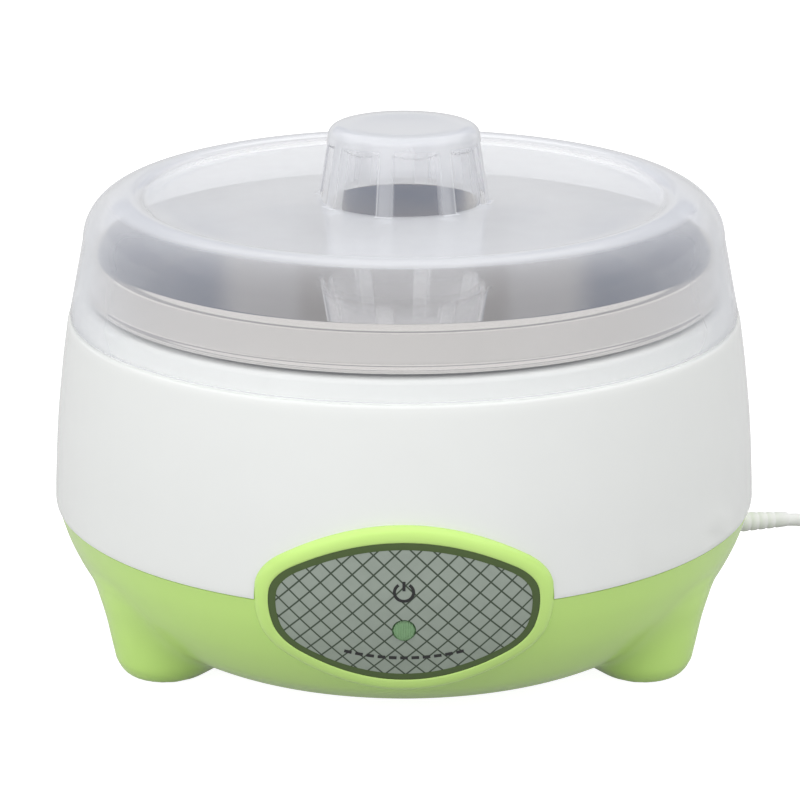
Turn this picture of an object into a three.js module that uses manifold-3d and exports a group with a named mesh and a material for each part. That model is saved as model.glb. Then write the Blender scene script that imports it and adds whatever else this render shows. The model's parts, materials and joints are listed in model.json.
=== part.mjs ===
// Yogurt maker: a green bowl base on three feet, a white body with a steel pot in its well, a steel pot
// lid, a milky dome lid, an indicator panel at the front and a small mains lead.
// Millimetres, +Z up, the table at z = 0 and the front towards -Y. Round parts share the Z axis.
// An azimuth is measured from the front, positive towards +X.

import * as THREE from "three";
import { mergeVertices } from "three/addons/utils/BufferGeometryUtils.js";
import Module from "manifold-3d";

const wasm = await Module();
wasm.setup();

// ---- driving dimensions ----

const GAP = 0.3; // clearance between touching pieces
const SIDES = 36; // sides of the large round pieces
const LID_SIDES = 48; // sides of the dome lid, six for each rib of its knob
const SMALL_SIDES = 12; // sides of screws, posts and small round pieces

const SEAM_Z = 38.9; // joint line between the green base and the white body
const WALL = 2.2; // moulded wall of base and body
const BASE_FLOOR_Z = 4.0; // underside of the base
const LEDGE_Z = 89.0; // ledge that the dome lid sits on
const DECK_Z = 94.2; // top of the body's neck
const WELL_FLOOR_Z = 34.0; // upper face of the well's floor
const FLOOR_OPENING_R = 44.0; // opening of the well's floor, under the heating plate

const FOOT_RING_R = 71.6; // feet stand on this circle
const FOOT_AZIMUTHS = [60, 180, 300];
const POST_RING_R = 62.0; // the three screw posts of the housing
const POST_AZIMUTHS = [0, 120, 240];

const PLATE_Z = 35.6; // underside of the heating plate
const PLATE_THICKNESS = 1.2;
const PLATE_R = 52.0;
const PLATE_BOSS_RING_R = 40.0;
const PLATE_BOSS_AZIMUTHS = [30, 150, 270];
const STRAP_BOSS_Y = 17.0; // the heater strap is screwed to two bosses, front and back
const STRAP_Z = 29.1;

const POT_BOTTOM_Z = 37.2;
const POT_RIM_Z = 105.4;
const POT_R = 77.6; // outside, at the rim
const POT_WALL = 0.8;
const POT_LID_Z = 106.8; // top of the steel lid
const POT_LID_R = 82.0;
const POT_LID_FOOT_Z = 95.2; // lower edge of its skirt

const LID_FOOT_Z = LEDGE_Z + 0.4;
const LID_FOOT_R = 87.9;
const LID_WALL = 1.5;
const SHOULDER_Z = 109.0; // the wall meets the round shoulder here
const CREST_Z = 120.8;
const CREST_R = 71.5;
const SHOULDER_WIDTH = 12.5;
const RECESS_Z = 118.5; // flat top inside the crest
const RECESS_R = 67.3;

const KNOB_TOP_Z = 138.0;
const KNOB_R = 19.8; // at the cap
const KNOB_FOOT_R = 22.5;
const KNOB_RIBS = 8;
const RIB_AZIMUTH = -13.3; // azimuth of one rib
const FLUTE_DEPTH = 1.5; // the panels between ribs are this much recessed

const PANEL_CENTRE_Z = 37.65; // indicator panel
const PANEL_HALF_HEIGHT = 19.45;
const PANEL_HALF_WIDTH = 33.2;
const BEZEL_WIDTH = 4.2; // green rim around the label
const LENS_Z = 33.6;
const LENS_R = 2.9;
const LENS_FLANGE_Y = 88.1; // front face of the flange that holds the lens from behind

const CORD_ANGLE = 10; // the lead leaves this many degrees behind the right-hand side
const CORD_Z = 22.3;
const CORD_D = 3.5;
const RELIEF_TIP = 108.0; // distance of the strain relief's tip from the Z axis
const CLAMP_S = 61.5; // distance of the cord clamp from the Z axis
const CLAMP_Z = 20.1; // height of the sheath in the clamp
const SHEATH_END = 54.0; // its inner end, from the Z axis

const COIL = { x: 158.0, y: 1.5, inner: 13.4, outer: 24.8, bottom: 1.0, top: 15.6 };
const OUTER_TURN_R = 22.8; // middle of the coil's outermost turns

// ---- helpers: curves ----

const rad = THREE.MathUtils.degToRad;

function arc(cx, cz, rx, rz, from, to, steps) {
  const points = [];
  for (let i = 0; i <= steps; i += 1) {
    const a = rad(from + ((to - from) * i) / steps);
    points.push([cx + rx * Math.cos(a), cz + rz * Math.sin(a)]);
  }
  return points;
}

function spline(points, steps) {
  const curve = new THREE.SplineCurve(points.map((p) => new THREE.Vector2(...p)));
  return curve.getPoints(steps).map((p) => [p.x, p.y]);
}

const around = (r, azimuth) => [r * Math.sin(rad(azimuth)), -r * Math.cos(rad(azimuth))];

// ---- helpers: geometry and solids ----

// Profile points are [radius, height], listed so that the material lies on their right-hand side.
function lathe(profile, sides = SIDES, turned = 0) {
  const points = profile.map((p) => new THREE.Vector2(Math.max(p[0], 0), p[1]));
  return new THREE.LatheGeometry(points, sides, rad(turned)).rotateX(Math.PI / 2);
}

// The same with a profile that closes on itself.
const ring = (profile, sides, turned) => lathe([...profile, profile[0]], sides, turned);

function cylinder(r, z0, z1, sides = SMALL_SIDES) {
  return lathe([[0, z0], [r, z0], [r, z1], [0, z1]], sides);
}

function box(x0, x1, y0, y1, z0, z1) {
  const made = new THREE.BoxGeometry(x1 - x0, y1 - y0, z1 - z0);
  return made.translate((x0 + x1) / 2, (y0 + y1) / 2, (z0 + z1) / 2);
}

function tube(points, r, sides, steps) {
  const path = new THREE.CatmullRomCurve3(points.map((p) => new THREE.Vector3(...p)));
  const section = new THREE.Shape();
  for (let i = 0; i < sides; i += 1) {
    const a = (2 * Math.PI * i) / sides;
    if (i === 0) section.moveTo(r, 0);
    else section.lineTo(r * Math.cos(a), r * Math.sin(a));
  }
  return new THREE.ExtrudeGeometry(section, { steps, extrudePath: path, bevelEnabled: false });
}

// An outline of [x, z] points seen from the front, extruded from y0 back to y1.
function frontPrism(outline, y0, y1) {
  const shape = new THREE.Shape(outline.map((p) => new THREE.Vector2(...p)));
  const made = new THREE.ExtrudeGeometry(shape, { depth: y1 - y0, bevelEnabled: false });
  return made.rotateX(Math.PI / 2).translate(0, y1, 0);
}

function solid(geometry) {
  const plain = geometry.index ? geometry.toNonIndexed() : geometry.clone();
  plain.deleteAttribute("normal");
  plain.deleteAttribute("uv");
  const merged = mergeVertices(plain, 1e-4);
  const mesh = new wasm.Mesh({
    numProp: 3,
    vertProperties: merged.attributes.position.array,
    triVerts: new Uint32Array(merged.index.array),
  });
  return new wasm.Manifold(mesh);
}

function geometryOf(made) {
  const mesh = made.getMesh();
  const geometry = new THREE.BufferGeometry();
  geometry.setAttribute("position", new THREE.BufferAttribute(mesh.vertProperties, 3));
  geometry.setIndex(new THREE.BufferAttribute(mesh.triVerts, 1));
  geometry.computeVertexNormals();
  return geometry;
}

const join = (first, ...more) => more.reduce((a, b) => a.add(solid(b)), first);
const cut = (first, ...more) => more.reduce((a, b) => a.subtract(solid(b)), first);

// ---- materials ----

const finish = (color, roughness, metalness = 0) =>
  new THREE.MeshStandardMaterial({ color, roughness, metalness });

const white = finish(0xebece9, 0.25);
const green = finish(0xb4dc7c, 0.3);
const milky = new THREE.MeshStandardMaterial({
  color: 0xe2e4e8,
  roughness: 0.2,
  transparent: true,
  opacity: 0.4,
});
const steel = finish(0xc4c3c4, 0.28, 1);
const zinc = finish(0xb8babb, 0.4, 1);
const aluminium = finish(0xcfd0d2, 0.4, 1);
const silver = finish(0x9aa49b, 0.45, 0.3);
const lensGreen = finish(0x7d9971, 0.3);
const silicone = finish(0xd8d5cd, 0.7);
const ceramic = finish(0xe9e4d8, 0.6);
const board = finish(0xb79a5c, 0.6);
const cordGrey = finish(0xdadad8, 0.45);
const black = finish(0x222324, 0.5);
const brown = finish(0x7a4a2a, 0.5);
const blue = finish(0x2f5fa8, 0.5);
const red = finish(0xb03a30, 0.5);

const root = new THREE.Group();

function add(name, geometry, material, parent = root) {
  const mesh = new THREE.Mesh(geometry, material);
  mesh.name = name;
  parent.add(mesh);
  return mesh;
}

// ---- outlines shared by neighbouring pieces ----

const bowlPoints = [
  [64, BASE_FLOOR_Z], [70.1, 6.5], [77.9, 12], [85.3, 21], [90, 30], [92.9, SEAM_Z - 0.1],
];
const bowlOuter = spline(bowlPoints, 8);
const bodyOuter = spline([[93.3, SEAM_Z + 0.2], [93, 46], [92, 61], [90.3, 76], [88.7, 87]], 6);

// Front face of the indicator panel's pad, moved back by `inset`, and the pad's back face.
const padPoints = [[84.6, 12], [88, 20.5], [91.7, 30], [93.9, 40], [94.5, 50], [94.6, 64]];
const padFront = (inset) => padPoints.map(([r, z]) => [r - inset, z]);
const padBack = [[90.6, 64], [90.2, 42], [89, 30], [84.3, 21], [77.5, 12]];

// The panel's outline seen from the front: four bowed edges with round corners, grown by `grow`.
function panelOutline(grow) {
  const corners = [[-30.3, -9.05], [30.3, -9.05], [32, 8.85], [-32, 8.85]];
  const middles = [
    [0, -PANEL_HALF_HEIGHT], [PANEL_HALF_WIDTH, 0], [0, PANEL_HALF_HEIGHT], [-PANEL_HALF_WIDTH, 0],
  ];
  const trims = [0.07, 0.2, 0.07, 0.2]; // share of each edge given to a corner
  const steps = [6, 2, 6, 2];
  const bow = (a, m, b, t) => {
    const control = 2 * m - (a + b) / 2;
    return (1 - t) * (1 - t) * a + 2 * t * (1 - t) * control + t * t * b;
  };
  const points = [];
  corners.forEach((corner, i) => {
    const next = corners[(i + 1) % 4];
    const at = (t) => [0, 1].map((k) => bow(corner[k], middles[i][k], next[k], t));
    for (let s = 0; s <= steps[i]; s += 1) {
      points.push(at(trims[i] + ((1 - 2 * trims[i]) * s) / steps[i]));
    }
    const end = points[points.length - 1];
    const j = (i + 1) % 4;
    const after = corners[(j + 1) % 4];
    const following = [0, 1].map((k) => bow(next[k], middles[j][k], after[k], trims[j]));
    for (const t of [1 / 3, 2 / 3]) {
      const blend = [0, 1].map(
        (k) => (1 - t) * (1 - t) * end[k] + 2 * t * (1 - t) * next[k] + t * t * following[k],
      );
      points.push(blend);
    }
  });
  const sx = (PANEL_HALF_WIDTH + grow) / PANEL_HALF_WIDTH;
  const sz = (PANEL_HALF_HEIGHT + grow) / PANEL_HALF_HEIGHT;
  return points.map(([x, z]) => [x * sx, PANEL_CENTRE_Z + z * sz]);
}

// ---- screws ----

// A pan-head screw pointing up; `seat` is the face under its head.
function screw(headR, headHeight, shankR, seat, tip) {
  const profile = [
    [0, seat - headHeight],
    [headR * 0.7, seat - headHeight],
    [headR, seat - headHeight * 0.5],
    [headR, seat],
    [shankR, seat],
    [shankR, tip - 1.5],
    [0, tip],
  ];
  return lathe(profile, 8);
}

// ---- green base ----

const footOuter = [[0, 0], [8.2, 0], [10.8, 0.9], [12.7, 3.3], [13.8, 7], [16, 20], [15.6, 26], [0, 33]];
const footInner = [[0, 2.4], [7.4, 2.4], [10.6, 5], [11.7, 8], [13.8, 20], [13.4, 25], [0, 30]];
const cordRotation = rad(CORD_ANGLE);
const COUNTERBORE_SEAT_Z = 9.8;

// Pieces behind the panel lie along Y: a lathe's height becomes the distance in front of the Z axis.
const forward = (geometry, x, z) => geometry.rotateX(Math.PI / 2).translate(x, 0, z);

function atRing(geometry, r, azimuth) {
  const [x, y] = around(r, azimuth);
  return geometry.translate(x, y, 0);
}

// A cylinder lying along the lead's radial line, from s0 to s1 from the Z axis.
function radialCylinder(r, s0, s1, z) {
  return cylinder(r, s0, s1, 16).rotateY(Math.PI / 2).rotateZ(cordRotation).translate(0, 0, z);
}

const alongCord = (geometry) => geometry.rotateZ(cordRotation);

function baseShell() {
  const depth = SEAM_Z - BASE_FLOOR_Z;
  const inner = bowlOuter.map(([r, z]) => [r - WALL, z + (WALL * (SEAM_Z - z)) / depth]);
  const rimZ = SEAM_Z - 0.1;
  const outside = [[0, BASE_FLOOR_Z], ...bowlOuter, [92.9 - WALL - 0.4, rimZ], [0, rimZ]];
  const feet = FOOT_AZIMUTHS.map((a) => atRing(lathe(footOuter, 20), FOOT_RING_R, a));
  const footHollows = FOOT_AZIMUTHS.map((a) => atRing(lathe(footInner, 14), FOOT_RING_R, a));
  const pad = solid(ring([...spline(padFront(0), 8), ...spline(padBack, 6)]))
    .intersect(solid(frontPrism(panelOutline(BEZEL_WIDTH), -110, -70)));
  const lip = ring([[88.7, 36], [90.3, 36], [90.3, 42], [88.7, 42]]);
  const cavity = [[0, BASE_FLOOR_Z + WALL], ...inner, [92.9 - WALL, SEAM_Z + 2], [0, SEAM_Z + 2]];
  let shell = join(solid(lathe(outside)), ...feet);
  shell = cut(shell, lathe(cavity), ...footHollows).add(pad);
  shell = join(shell, lip);
  const relief = radialCylinder(6.5, 79.5, 89.6, CORD_Z);
  const clampBlock = alongCord(box(CLAMP_S - 3, CLAMP_S + 3, -10, 10, BASE_FLOOR_Z + 1.2, CLAMP_Z - 2.1));
  const tubes = POST_AZIMUTHS.map((a) => atRing(cylinder(6.4, BASE_FLOOR_Z + 0.5, 12), POST_RING_R, a));
  shell = join(shell, relief, clampBlock, ...tubes);
  const bores = POST_AZIMUTHS.flatMap((a) => [
    atRing(cylinder(4.2, BASE_FLOOR_Z - 1, COUNTERBORE_SEAT_Z), POST_RING_R, a),
    atRing(cylinder(2, COUNTERBORE_SEAT_Z - 1, 13), POST_RING_R, a),
  ]);
  const clampHoles = [-7, 7].map((y) => alongCord(cylinder(1.8, 9, CLAMP_Z).translate(CLAMP_S, y, 0)));
  const lensHole = forward(cylinder(LENS_R + GAP, 80, 96), 0, LENS_Z);
  const lensSeat = forward(cylinder(4.3, 80, LENS_FLANGE_Y + GAP), 0, LENS_Z);
  shell = cut(shell, ...bores, ...clampHoles, lensHole, lensSeat, radialCylinder(3.6, 70, 95, CORD_Z));
  // The label lies in a recess of the pad.
  const recess = solid(frontPrism(panelOutline(GAP), -110, -70)).intersect(
    solid(ring([[120, 12], [120, 64], ...spline(padFront(1.4), 8).reverse()])),
  );
  return shell.subtract(recess);
}
add("base_shell", geometryOf(baseShell()), green);

// ---- white body with its well ----

function bodyShell() {
  const wellTop = 79.6;
  const profile = [
    ...bodyOuter,
    [88.3, LEDGE_Z - 0.4],
    [87.7, LEDGE_Z],
    [85.9, LEDGE_Z],
    [84.9, DECK_Z - 0.8],
    [84.1, DECK_Z],
    [wellTop + 0.6, DECK_Z],
    [wellTop, DECK_Z - 0.6],
    ...arc(71.8, WELL_FLOOR_Z + 6, 6, 6, 0, -90, 3),
    [FLOOR_OPENING_R, WELL_FLOOR_Z],
    [FLOOR_OPENING_R, WELL_FLOOR_Z - WALL],
    ...arc(71.8, WELL_FLOOR_Z + 6, 6 + WALL, 6 + WALL, -90, 0, 3),
    [wellTop + 2, LEDGE_Z],
    [82.6, LEDGE_Z + 2.6],
    [84.2, LEDGE_Z - 2.5],
    [86.4, 84],
    [88.1, 76],
    [90, 60],
    [91, 45],
    [91.1, SEAM_Z + 0.2],
  ];
  const posts = POST_AZIMUTHS.map((a) => atRing(cylinder(5, 12.3, WELL_FLOOR_Z - 1), POST_RING_R, a));
  const holes = POST_AZIMUTHS.map((a) => atRing(cylinder(2, 11, 26), POST_RING_R, a));
  const notch = frontPrism(panelOutline(BEZEL_WIDTH + GAP), -110, -82.6);
  return cut(join(solid(ring(profile)), ...posts), ...holes, notch);
}
add("body_shell", geometryOf(bodyShell()), white);

for (const [i, azimuth] of POST_AZIMUTHS.entries()) {
  const made = screw(3.4, 2.2, 1.6, COUNTERBORE_SEAT_Z - GAP, 24);
  add(`housing_screw_${i + 1}`, atRing(made, POST_RING_R, azimuth), zinc);
}

// ---- indicator panel ----

function labelPlate() {
  const sheet = ring([...spline(padFront(0.4), 8), ...spline(padFront(1.1), 8).reverse()]);
  const made = solid(sheet).intersect(solid(frontPrism(panelOutline(0), -110, -70)));
  return cut(made, forward(cylinder(LENS_R + GAP, 80, 96), 0, LENS_Z));
}
add("label_plate", geometryOf(labelPlate()), silver);

const lensProfile = [
  [0, 87.1], [3.9, 87.1], [3.9, LENS_FLANGE_Y], [LENS_R, LENS_FLANGE_Y], [LENS_R, 92], [2, 92.4], [0, 92.5],
];
const ledProfile = [[0, 82], [1.9, 82], [1.9, 83], [1.5, 83], [1.5, 85.2], [1, 86.3], [0, 86.7]];
add("indicator_lens", forward(lathe(lensProfile, SMALL_SIDES), 0, LENS_Z), lensGreen);
add("indicator_led", forward(lathe(ledProfile, SMALL_SIDES), 0, LENS_Z), lensGreen);
add("indicator_board", box(-7, 7, -81.7, -80.7, 22, 38), board);
const resistor = [[0, -3.2], [1.2, -3.2], [1.2, 3.2], [0, 3.2]];
add("led_resistor", lathe(resistor, 8).rotateY(Math.PI / 2).translate(0, -83.3, 26.5), ceramic);

// ---- heating plate and heater ----

function heatingPlate() {
  const top = PLATE_Z + PLATE_THICKNESS;
  const bosses = PLATE_BOSS_AZIMUTHS.map((a) =>
    atRing(cylinder(3.4, WELL_FLOOR_Z - WALL, PLATE_Z + 0.5), PLATE_BOSS_RING_R, a),
  );
  const bossHoles = PLATE_BOSS_AZIMUTHS.map((a) =>
    atRing(cylinder(1.9, 30, 35), PLATE_BOSS_RING_R, a),
  );
  const strapBosses = [-STRAP_BOSS_Y, STRAP_BOSS_Y].map((y) =>
    cylinder(3.4, STRAP_Z + 1.5, PLATE_Z + 0.5).translate(0, y, 0),
  );
  const strapBossHoles = [-STRAP_BOSS_Y, STRAP_BOSS_Y].map((y) =>
    cylinder(1.9, 30, 35).translate(0, y, 0),
  );
  const edge = [[PLATE_R, PLATE_Z], [PLATE_R, top - 0.4], [PLATE_R - 0.4, top]];
  const disc = lathe([[0, PLATE_Z], ...edge, [0, top]], 32);
  return cut(join(solid(disc), ...bosses, ...strapBosses), ...bossHoles, ...strapBossHoles);
}
add("heating_plate", geometryOf(heatingPlate()), aluminium);

const gasketZ = WELL_FLOOR_Z + GAP;
const gasket = [[46, gasketZ], [51, gasketZ], [51, gasketZ + 1], [46, gasketZ + 1]];
add("plate_gasket", ring(gasket, 32), silicone);

const clampRingTop = WELL_FLOOR_Z - WALL - GAP;
const clampRingFoot = clampRingTop - 1.2;
const clampRing = [
  [36.5, clampRingFoot], [50, clampRingFoot], [50, clampRingTop], [36.5, clampRingTop],
];
const clampRingHoles = PLATE_BOSS_AZIMUTHS.map((a) =>
  atRing(cylinder(1.9, 29, 33), PLATE_BOSS_RING_R, a),
);
add("plate_clamp_ring", geometryOf(cut(solid(ring(clampRing, 32)), ...clampRingHoles)), zinc);

for (const [i, azimuth] of PLATE_BOSS_AZIMUTHS.entries()) {
  const made = screw(3, 1.9, 1.5, clampRingFoot - GAP, 34.5);
  add(`plate_screw_${i + 1}`, atRing(made, PLATE_BOSS_RING_R, azimuth), zinc);
}

const heaterBlock = solid(box(-17, 17, -10, 10, STRAP_Z + 1.5, PLATE_Z - GAP));
const heaterTabs = [-5, 5].map((y) => box(16, 24, y - 2.5, y + 2.5, 31.6, 32.4));
add("ptc_heater", geometryOf(join(heaterBlock, ...heaterTabs)), ceramic);

const strap = solid(box(-5, 5, -22, 22, STRAP_Z, STRAP_Z + 1.2));
const strapHoles = [-STRAP_BOSS_Y, STRAP_BOSS_Y].map((y) => cylinder(1.9, 28, 32).translate(0, y, 0));
add("heater_strap", geometryOf(cut(strap, ...strapHoles)), zinc);
for (const [i, y] of [-STRAP_BOSS_Y, STRAP_BOSS_Y].entries()) {
  add(`strap_screw_${i + 1}`, screw(3, 1.9, 1.5, STRAP_Z - GAP, 34.5).translate(0, y, 0), zinc);
}

const fuse = [[0, 14], [1.5, 14], [2, 14.6], [2, 24.4], [1.5, 25], [0, 25]];
add("thermal_fuse", lathe(fuse, SMALL_SIDES).rotateY(Math.PI / 2).translate(0, 14.5, 33), silver);

// ---- pot and its lid ----

function pot() {
  const floorR = 76.4;
  const bend = 7;
  const profile = [
    [0, POT_BOTTOM_Z],
    ...arc(floorR - bend, POT_BOTTOM_Z + bend, bend, bend, -90, 0, 4),
    [POT_R, POT_RIM_Z - 2.6],
    ...arc(POT_R + 1.6, POT_RIM_Z - 1.3, 1.4, 1.3, -120, 90, 4),
    [POT_R - 0.2, POT_RIM_Z],
    [POT_R - POT_WALL, POT_RIM_Z - 0.8],
    ...arc(floorR - bend, POT_BOTTOM_Z + bend, bend - POT_WALL, bend - POT_WALL, 0, -90, 3),
    [0, POT_BOTTOM_Z + POT_WALL],
  ];
  return lathe(profile);
}
add("pot", pot(), steel);

function potLid() {
  const t = 0.7;
  const profile = [
    [0, POT_LID_Z - t],
    ...arc(POT_LID_R - 2.2, POT_LID_Z - 2.2, 2.2 - t, 2.2 - t, 90, 0, 2),
    [POT_LID_R - t + 0.3, POT_LID_FOOT_Z + 1.2],
    [POT_LID_R - t + 0.5, POT_LID_FOOT_Z],
    [POT_LID_R + 0.9, POT_LID_FOOT_Z],
    [POT_LID_R + 1.0, POT_LID_FOOT_Z + 0.8],
    [POT_LID_R + 0.4, POT_LID_FOOT_Z + 1.6],
    ...arc(POT_LID_R - 2.2, POT_LID_Z - 2.2, 2.2, 2.2, 0, 90, 3),
    [0, POT_LID_Z],
  ];
  return lathe(profile);
}
add("pot_lid", potLid(), steel);

// ---- dome lid with its moulded knob ----

// 1 on a rib of the knob, 0 on the panel between two ribs, at an azimuth in degrees.
function ribShape(azimuth) {
  const period = 360 / KNOB_RIBS;
  const fromRib = Math.abs(((azimuth - RIB_AZIMUTH + 10.5 * period) % period) - period / 2);
  return 1 - THREE.MathUtils.smoothstep(fromRib, 5.6, 11);
}

function domeLid() {
  const top = KNOB_TOP_Z;
  const wallTopR = CREST_R + SHOULDER_WIDTH;
  const rise = CREST_Z - SHOULDER_Z;
  const fluteTop = top - 4.9;
  const fluteFoot = RECESS_Z + 0.6;
  const outside = [
    [0, top],
    [13.5, top],
    ...arc(KNOB_R - 2.6, top - 2.6, 2.6, 2.6, 70, 0, 2),
    [KNOB_R, fluteTop + 0.6],
    [KNOB_R + 0.1, fluteTop],
    [(KNOB_R + KNOB_FOOT_R) / 2, (fluteTop + fluteFoot) / 2],
    [KNOB_FOOT_R, fluteFoot],
    [KNOB_FOOT_R + 0.8, RECESS_Z],
    [RECESS_R, RECESS_Z],
    [(RECESS_R + CREST_R) / 2 - 0.6, RECESS_Z + 1.3],
    ...arc(CREST_R, SHOULDER_Z, SHOULDER_WIDTH, rise, 95, 0, 6),
    [(wallTopR + LID_FOOT_R) / 2, (SHOULDER_Z + LID_FOOT_Z) / 2],
    [LID_FOOT_R, LID_FOOT_Z],
  ];
  const inside = [
    [LID_FOOT_R - LID_WALL, LID_FOOT_Z],
    ...arc(CREST_R, SHOULDER_Z, SHOULDER_WIDTH - LID_WALL, rise - LID_WALL, 0, 90, 5),
    [RECESS_R + 0.4, RECESS_Z - LID_WALL],
    [KNOB_FOOT_R - 2.6, RECESS_Z - LID_WALL],
    [KNOB_FOOT_R - FLUTE_DEPTH - 1.4, RECESS_Z - 0.4],
    [KNOB_R - FLUTE_DEPTH - 1.4, fluteTop],
    [KNOB_R - FLUTE_DEPTH - 3, top - LID_WALL],
    [0, top - LID_WALL],
  ];
  const made = lathe([...outside, ...inside].reverse(), LID_SIDES, RIB_AZIMUTH);
  const position = made.attributes.position;
  for (let i = 0; i < position.count; i += 1) {
    const [x, y, z] = [position.getX(i), position.getY(i), position.getZ(i)];
    const r = Math.hypot(x, y);
    const onFlutes = z > fluteFoot - 0.1 && z < fluteTop + 0.1 && r > KNOB_R - 0.5 && r < KNOB_FOOT_R + 0.2;
    if (!onFlutes) continue;
    const azimuth = THREE.MathUtils.radToDeg(Math.atan2(x, -y));
    const scale = 1 - (FLUTE_DEPTH * (1 - ribShape(azimuth))) / r;
    position.setXY(i, x * scale, y * scale);
  }
  return made;
}
add("dome_lid", domeLid(), milky);

// ---- mains lead: strain relief, clamp, inner ends ----

// A point beside the lead's radial line.
const cordPoint = (s, z, aside = 0) => [
  s * Math.cos(cordRotation) - aside * Math.sin(cordRotation),
  s * Math.sin(cordRotation) + aside * Math.cos(cordRotation),
  z,
];

const lead = new THREE.Group();
lead.rotation.z = cordRotation;
root.add(lead);

const reliefProfile = [
  [0, 77.9], [4.6, 77.9], [4.6, 79.2], [3.2, 79.2], [3.2, 89.9], [4.4, 89.9],
  [4.4, 91.2], [2.9, 92.2], [2.4, 99], [1.95, RELIEF_TIP], [0, RELIEF_TIP],
];
const relief = lathe(reliefProfile, SMALL_SIDES).rotateY(Math.PI / 2);
add("strain_relief", relief.translate(0, 0, CORD_Z), cordGrey, lead);

const sheath = [[77.5, 0, CORD_Z], [72, 0, 21.4], [CLAMP_S + 3, 0, CLAMP_Z], [SHEATH_END, 0, CLAMP_Z]];
add("inner_sheath", tube(sheath, CORD_D / 2, 8, 8), cordGrey, lead);

const clampBar = solid(box(CLAMP_S - 3, CLAMP_S + 3, -10, 10, CLAMP_Z - 1.7, CLAMP_Z + 3.2));
const groove = cylinder(CORD_D / 2 + 0.35, CLAMP_S - 5, CLAMP_S + 5)
  .rotateY(Math.PI / 2)
  .translate(0, 0, CLAMP_Z);
const grooveMouth = box(CLAMP_S - 5, CLAMP_S + 5, -2.1, 2.1, CLAMP_Z - 3, CLAMP_Z);
const clampBarHoles = [-7, 7].map((y) => cylinder(1.8, 15, 26).translate(CLAMP_S, y, 0));
add("cord_clamp", geometryOf(cut(clampBar, groove, grooveMouth, ...clampBarHoles)), white, lead);
for (const [i, y] of [-7, 7].entries()) {
  const made = screw(2.8, 1.8, 1.4, 0, 13).rotateX(Math.PI);
  add(`cord_clamp_screw_${i + 1}`, made.translate(CLAMP_S, y, CLAMP_Z + 3.2 + GAP), zinc, lead);
}

const connectorProfile = [[0, 30], [2, 30], [2.6, 31], [3.2, 41], [3.2, 43], [0, 43]];
for (const [i, y] of [22, -2].entries()) {
  const made = lathe(connectorProfile, SMALL_SIDES).rotateY(Math.PI / 2).translate(0, y, 14);
  add(`wire_connector_${i + 1}`, made, ceramic);
}

const WIRE_R = 0.8;
const sheathLeft = cordPoint(SHEATH_END - 1.1, CLAMP_Z, 0.95);
const sheathRight = cordPoint(SHEATH_END - 0.8, CLAMP_Z, -0.95);
const wires = [
  ["wire_live", brown, [sheathLeft, [50, 14, 19], [48.5, 21.5, 17], [43.4, 23.1, 14.7]]],
  ["wire_neutral", blue, [sheathRight, [50, 4, 18], [47.5, 0, 15.5], [43.4, -0.9, 14.7]]],
  ["wire_fuse_in", brown, [
    [43.6, 20.9, 14.7], [47.3, 18.4, 17], [44.5, 16.6, 22], [39, 16, 26.5], [31, 15, 29.5],
    [25.5, 14.5, 33],
  ]],
  ["wire_fuse_out", red, [
    [13.6, 14.5, 33], [10, 13.6, 30.5], [9.5, 11, 27.5], [18, 7, 26.5], [28, 5, 29], [24.8, 5, 32],
  ]],
  ["wire_heater", blue, [
    [43.7, -3.1, 14.7], [48, -5, 18], [44, -6, 24], [37, -5.6, 27.5], [29, -5, 31], [24.4, -5, 32],
  ]],
  ["wire_led_1", black, [
    [43.4, 22, 12.9], [48, 20, 10.5], [51, 4, 9.5], [46, -20, 9.5], [30, -50, 9.5], [10, -72, 15],
    [3, -80.1, 24],
  ]],
  ["wire_led_2", black, [
    [43.7, -2, 12.9], [47, -6, 10.5], [42, -20, 9], [24, -48, 9], [9, -66, 11], [-1, -74, 17],
    [-3, -80.1, 24],
  ]],
];
for (const [name, material, points] of wires) {
  add(name, tube(points, WIRE_R, 6, 2 * points.length), material);
}

// ---- mains lead: the free length, its coil, tie and plug ----

const freeCord = [
  cordPoint(RELIEF_TIP + GAP, CORD_Z - 0.2),
  cordPoint(113, CORD_Z - 0.8),
  cordPoint(120, 18.6),
  [125, 22.6, 14],
  [131, 23.6, 8.2],
  [137, 24.2, 4.4],
  [143, COIL.y + OUTER_TURN_R, 2.9],
];
add("power_cord", tube(freeCord, CORD_D / 2, 8, 6), cordGrey);

const { inner, outer, bottom, top: coilTop } = COIL;
const coilSection = [
  [inner, bottom + 0.8], [inner + 0.8, bottom], [outer - 0.8, bottom], [outer, bottom + 0.8],
  [outer, coilTop - 0.8], [outer - 0.8, coilTop], [inner + 0.8, coilTop], [inner, coilTop - 0.8],
];
add("cord_coil", ring(coilSection, 28), cordGrey).position.set(COIL.x, COIL.y, 0);

// A flat strap around the coil's section.
const tieOuter = box(inner - 1.2, outer + 1.2, -2, 2, bottom - 0.9, coilTop + 0.9);
const tieInner = box(inner - 0.4, outer + 0.4, -3, 3, bottom - GAP, coilTop + GAP);
const tie = add("cord_tie", geometryOf(solid(tieOuter).subtract(solid(tieInner))), white);
tie.rotation.z = rad(200);
tie.position.set(COIL.x, COIL.y, 0);

const PLUG_X = COIL.x + OUTER_TURN_R;
const PLUG_Y = -46; // where the cord enters the plug's tail
const PLUG_Z = 7.2;
const tailCord = [
  [PLUG_X, COIL.y - 13.4, 13.1],
  [PLUG_X, -20, 11.4],
  [PLUG_X, -30, 8.9],
  [PLUG_X, -38, 7.6],
  [PLUG_X, PLUG_Y + GAP, PLUG_Z],
];
add("cord_tail", tube(tailCord, CORD_D / 2, 8, 4), cordGrey);

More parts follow.
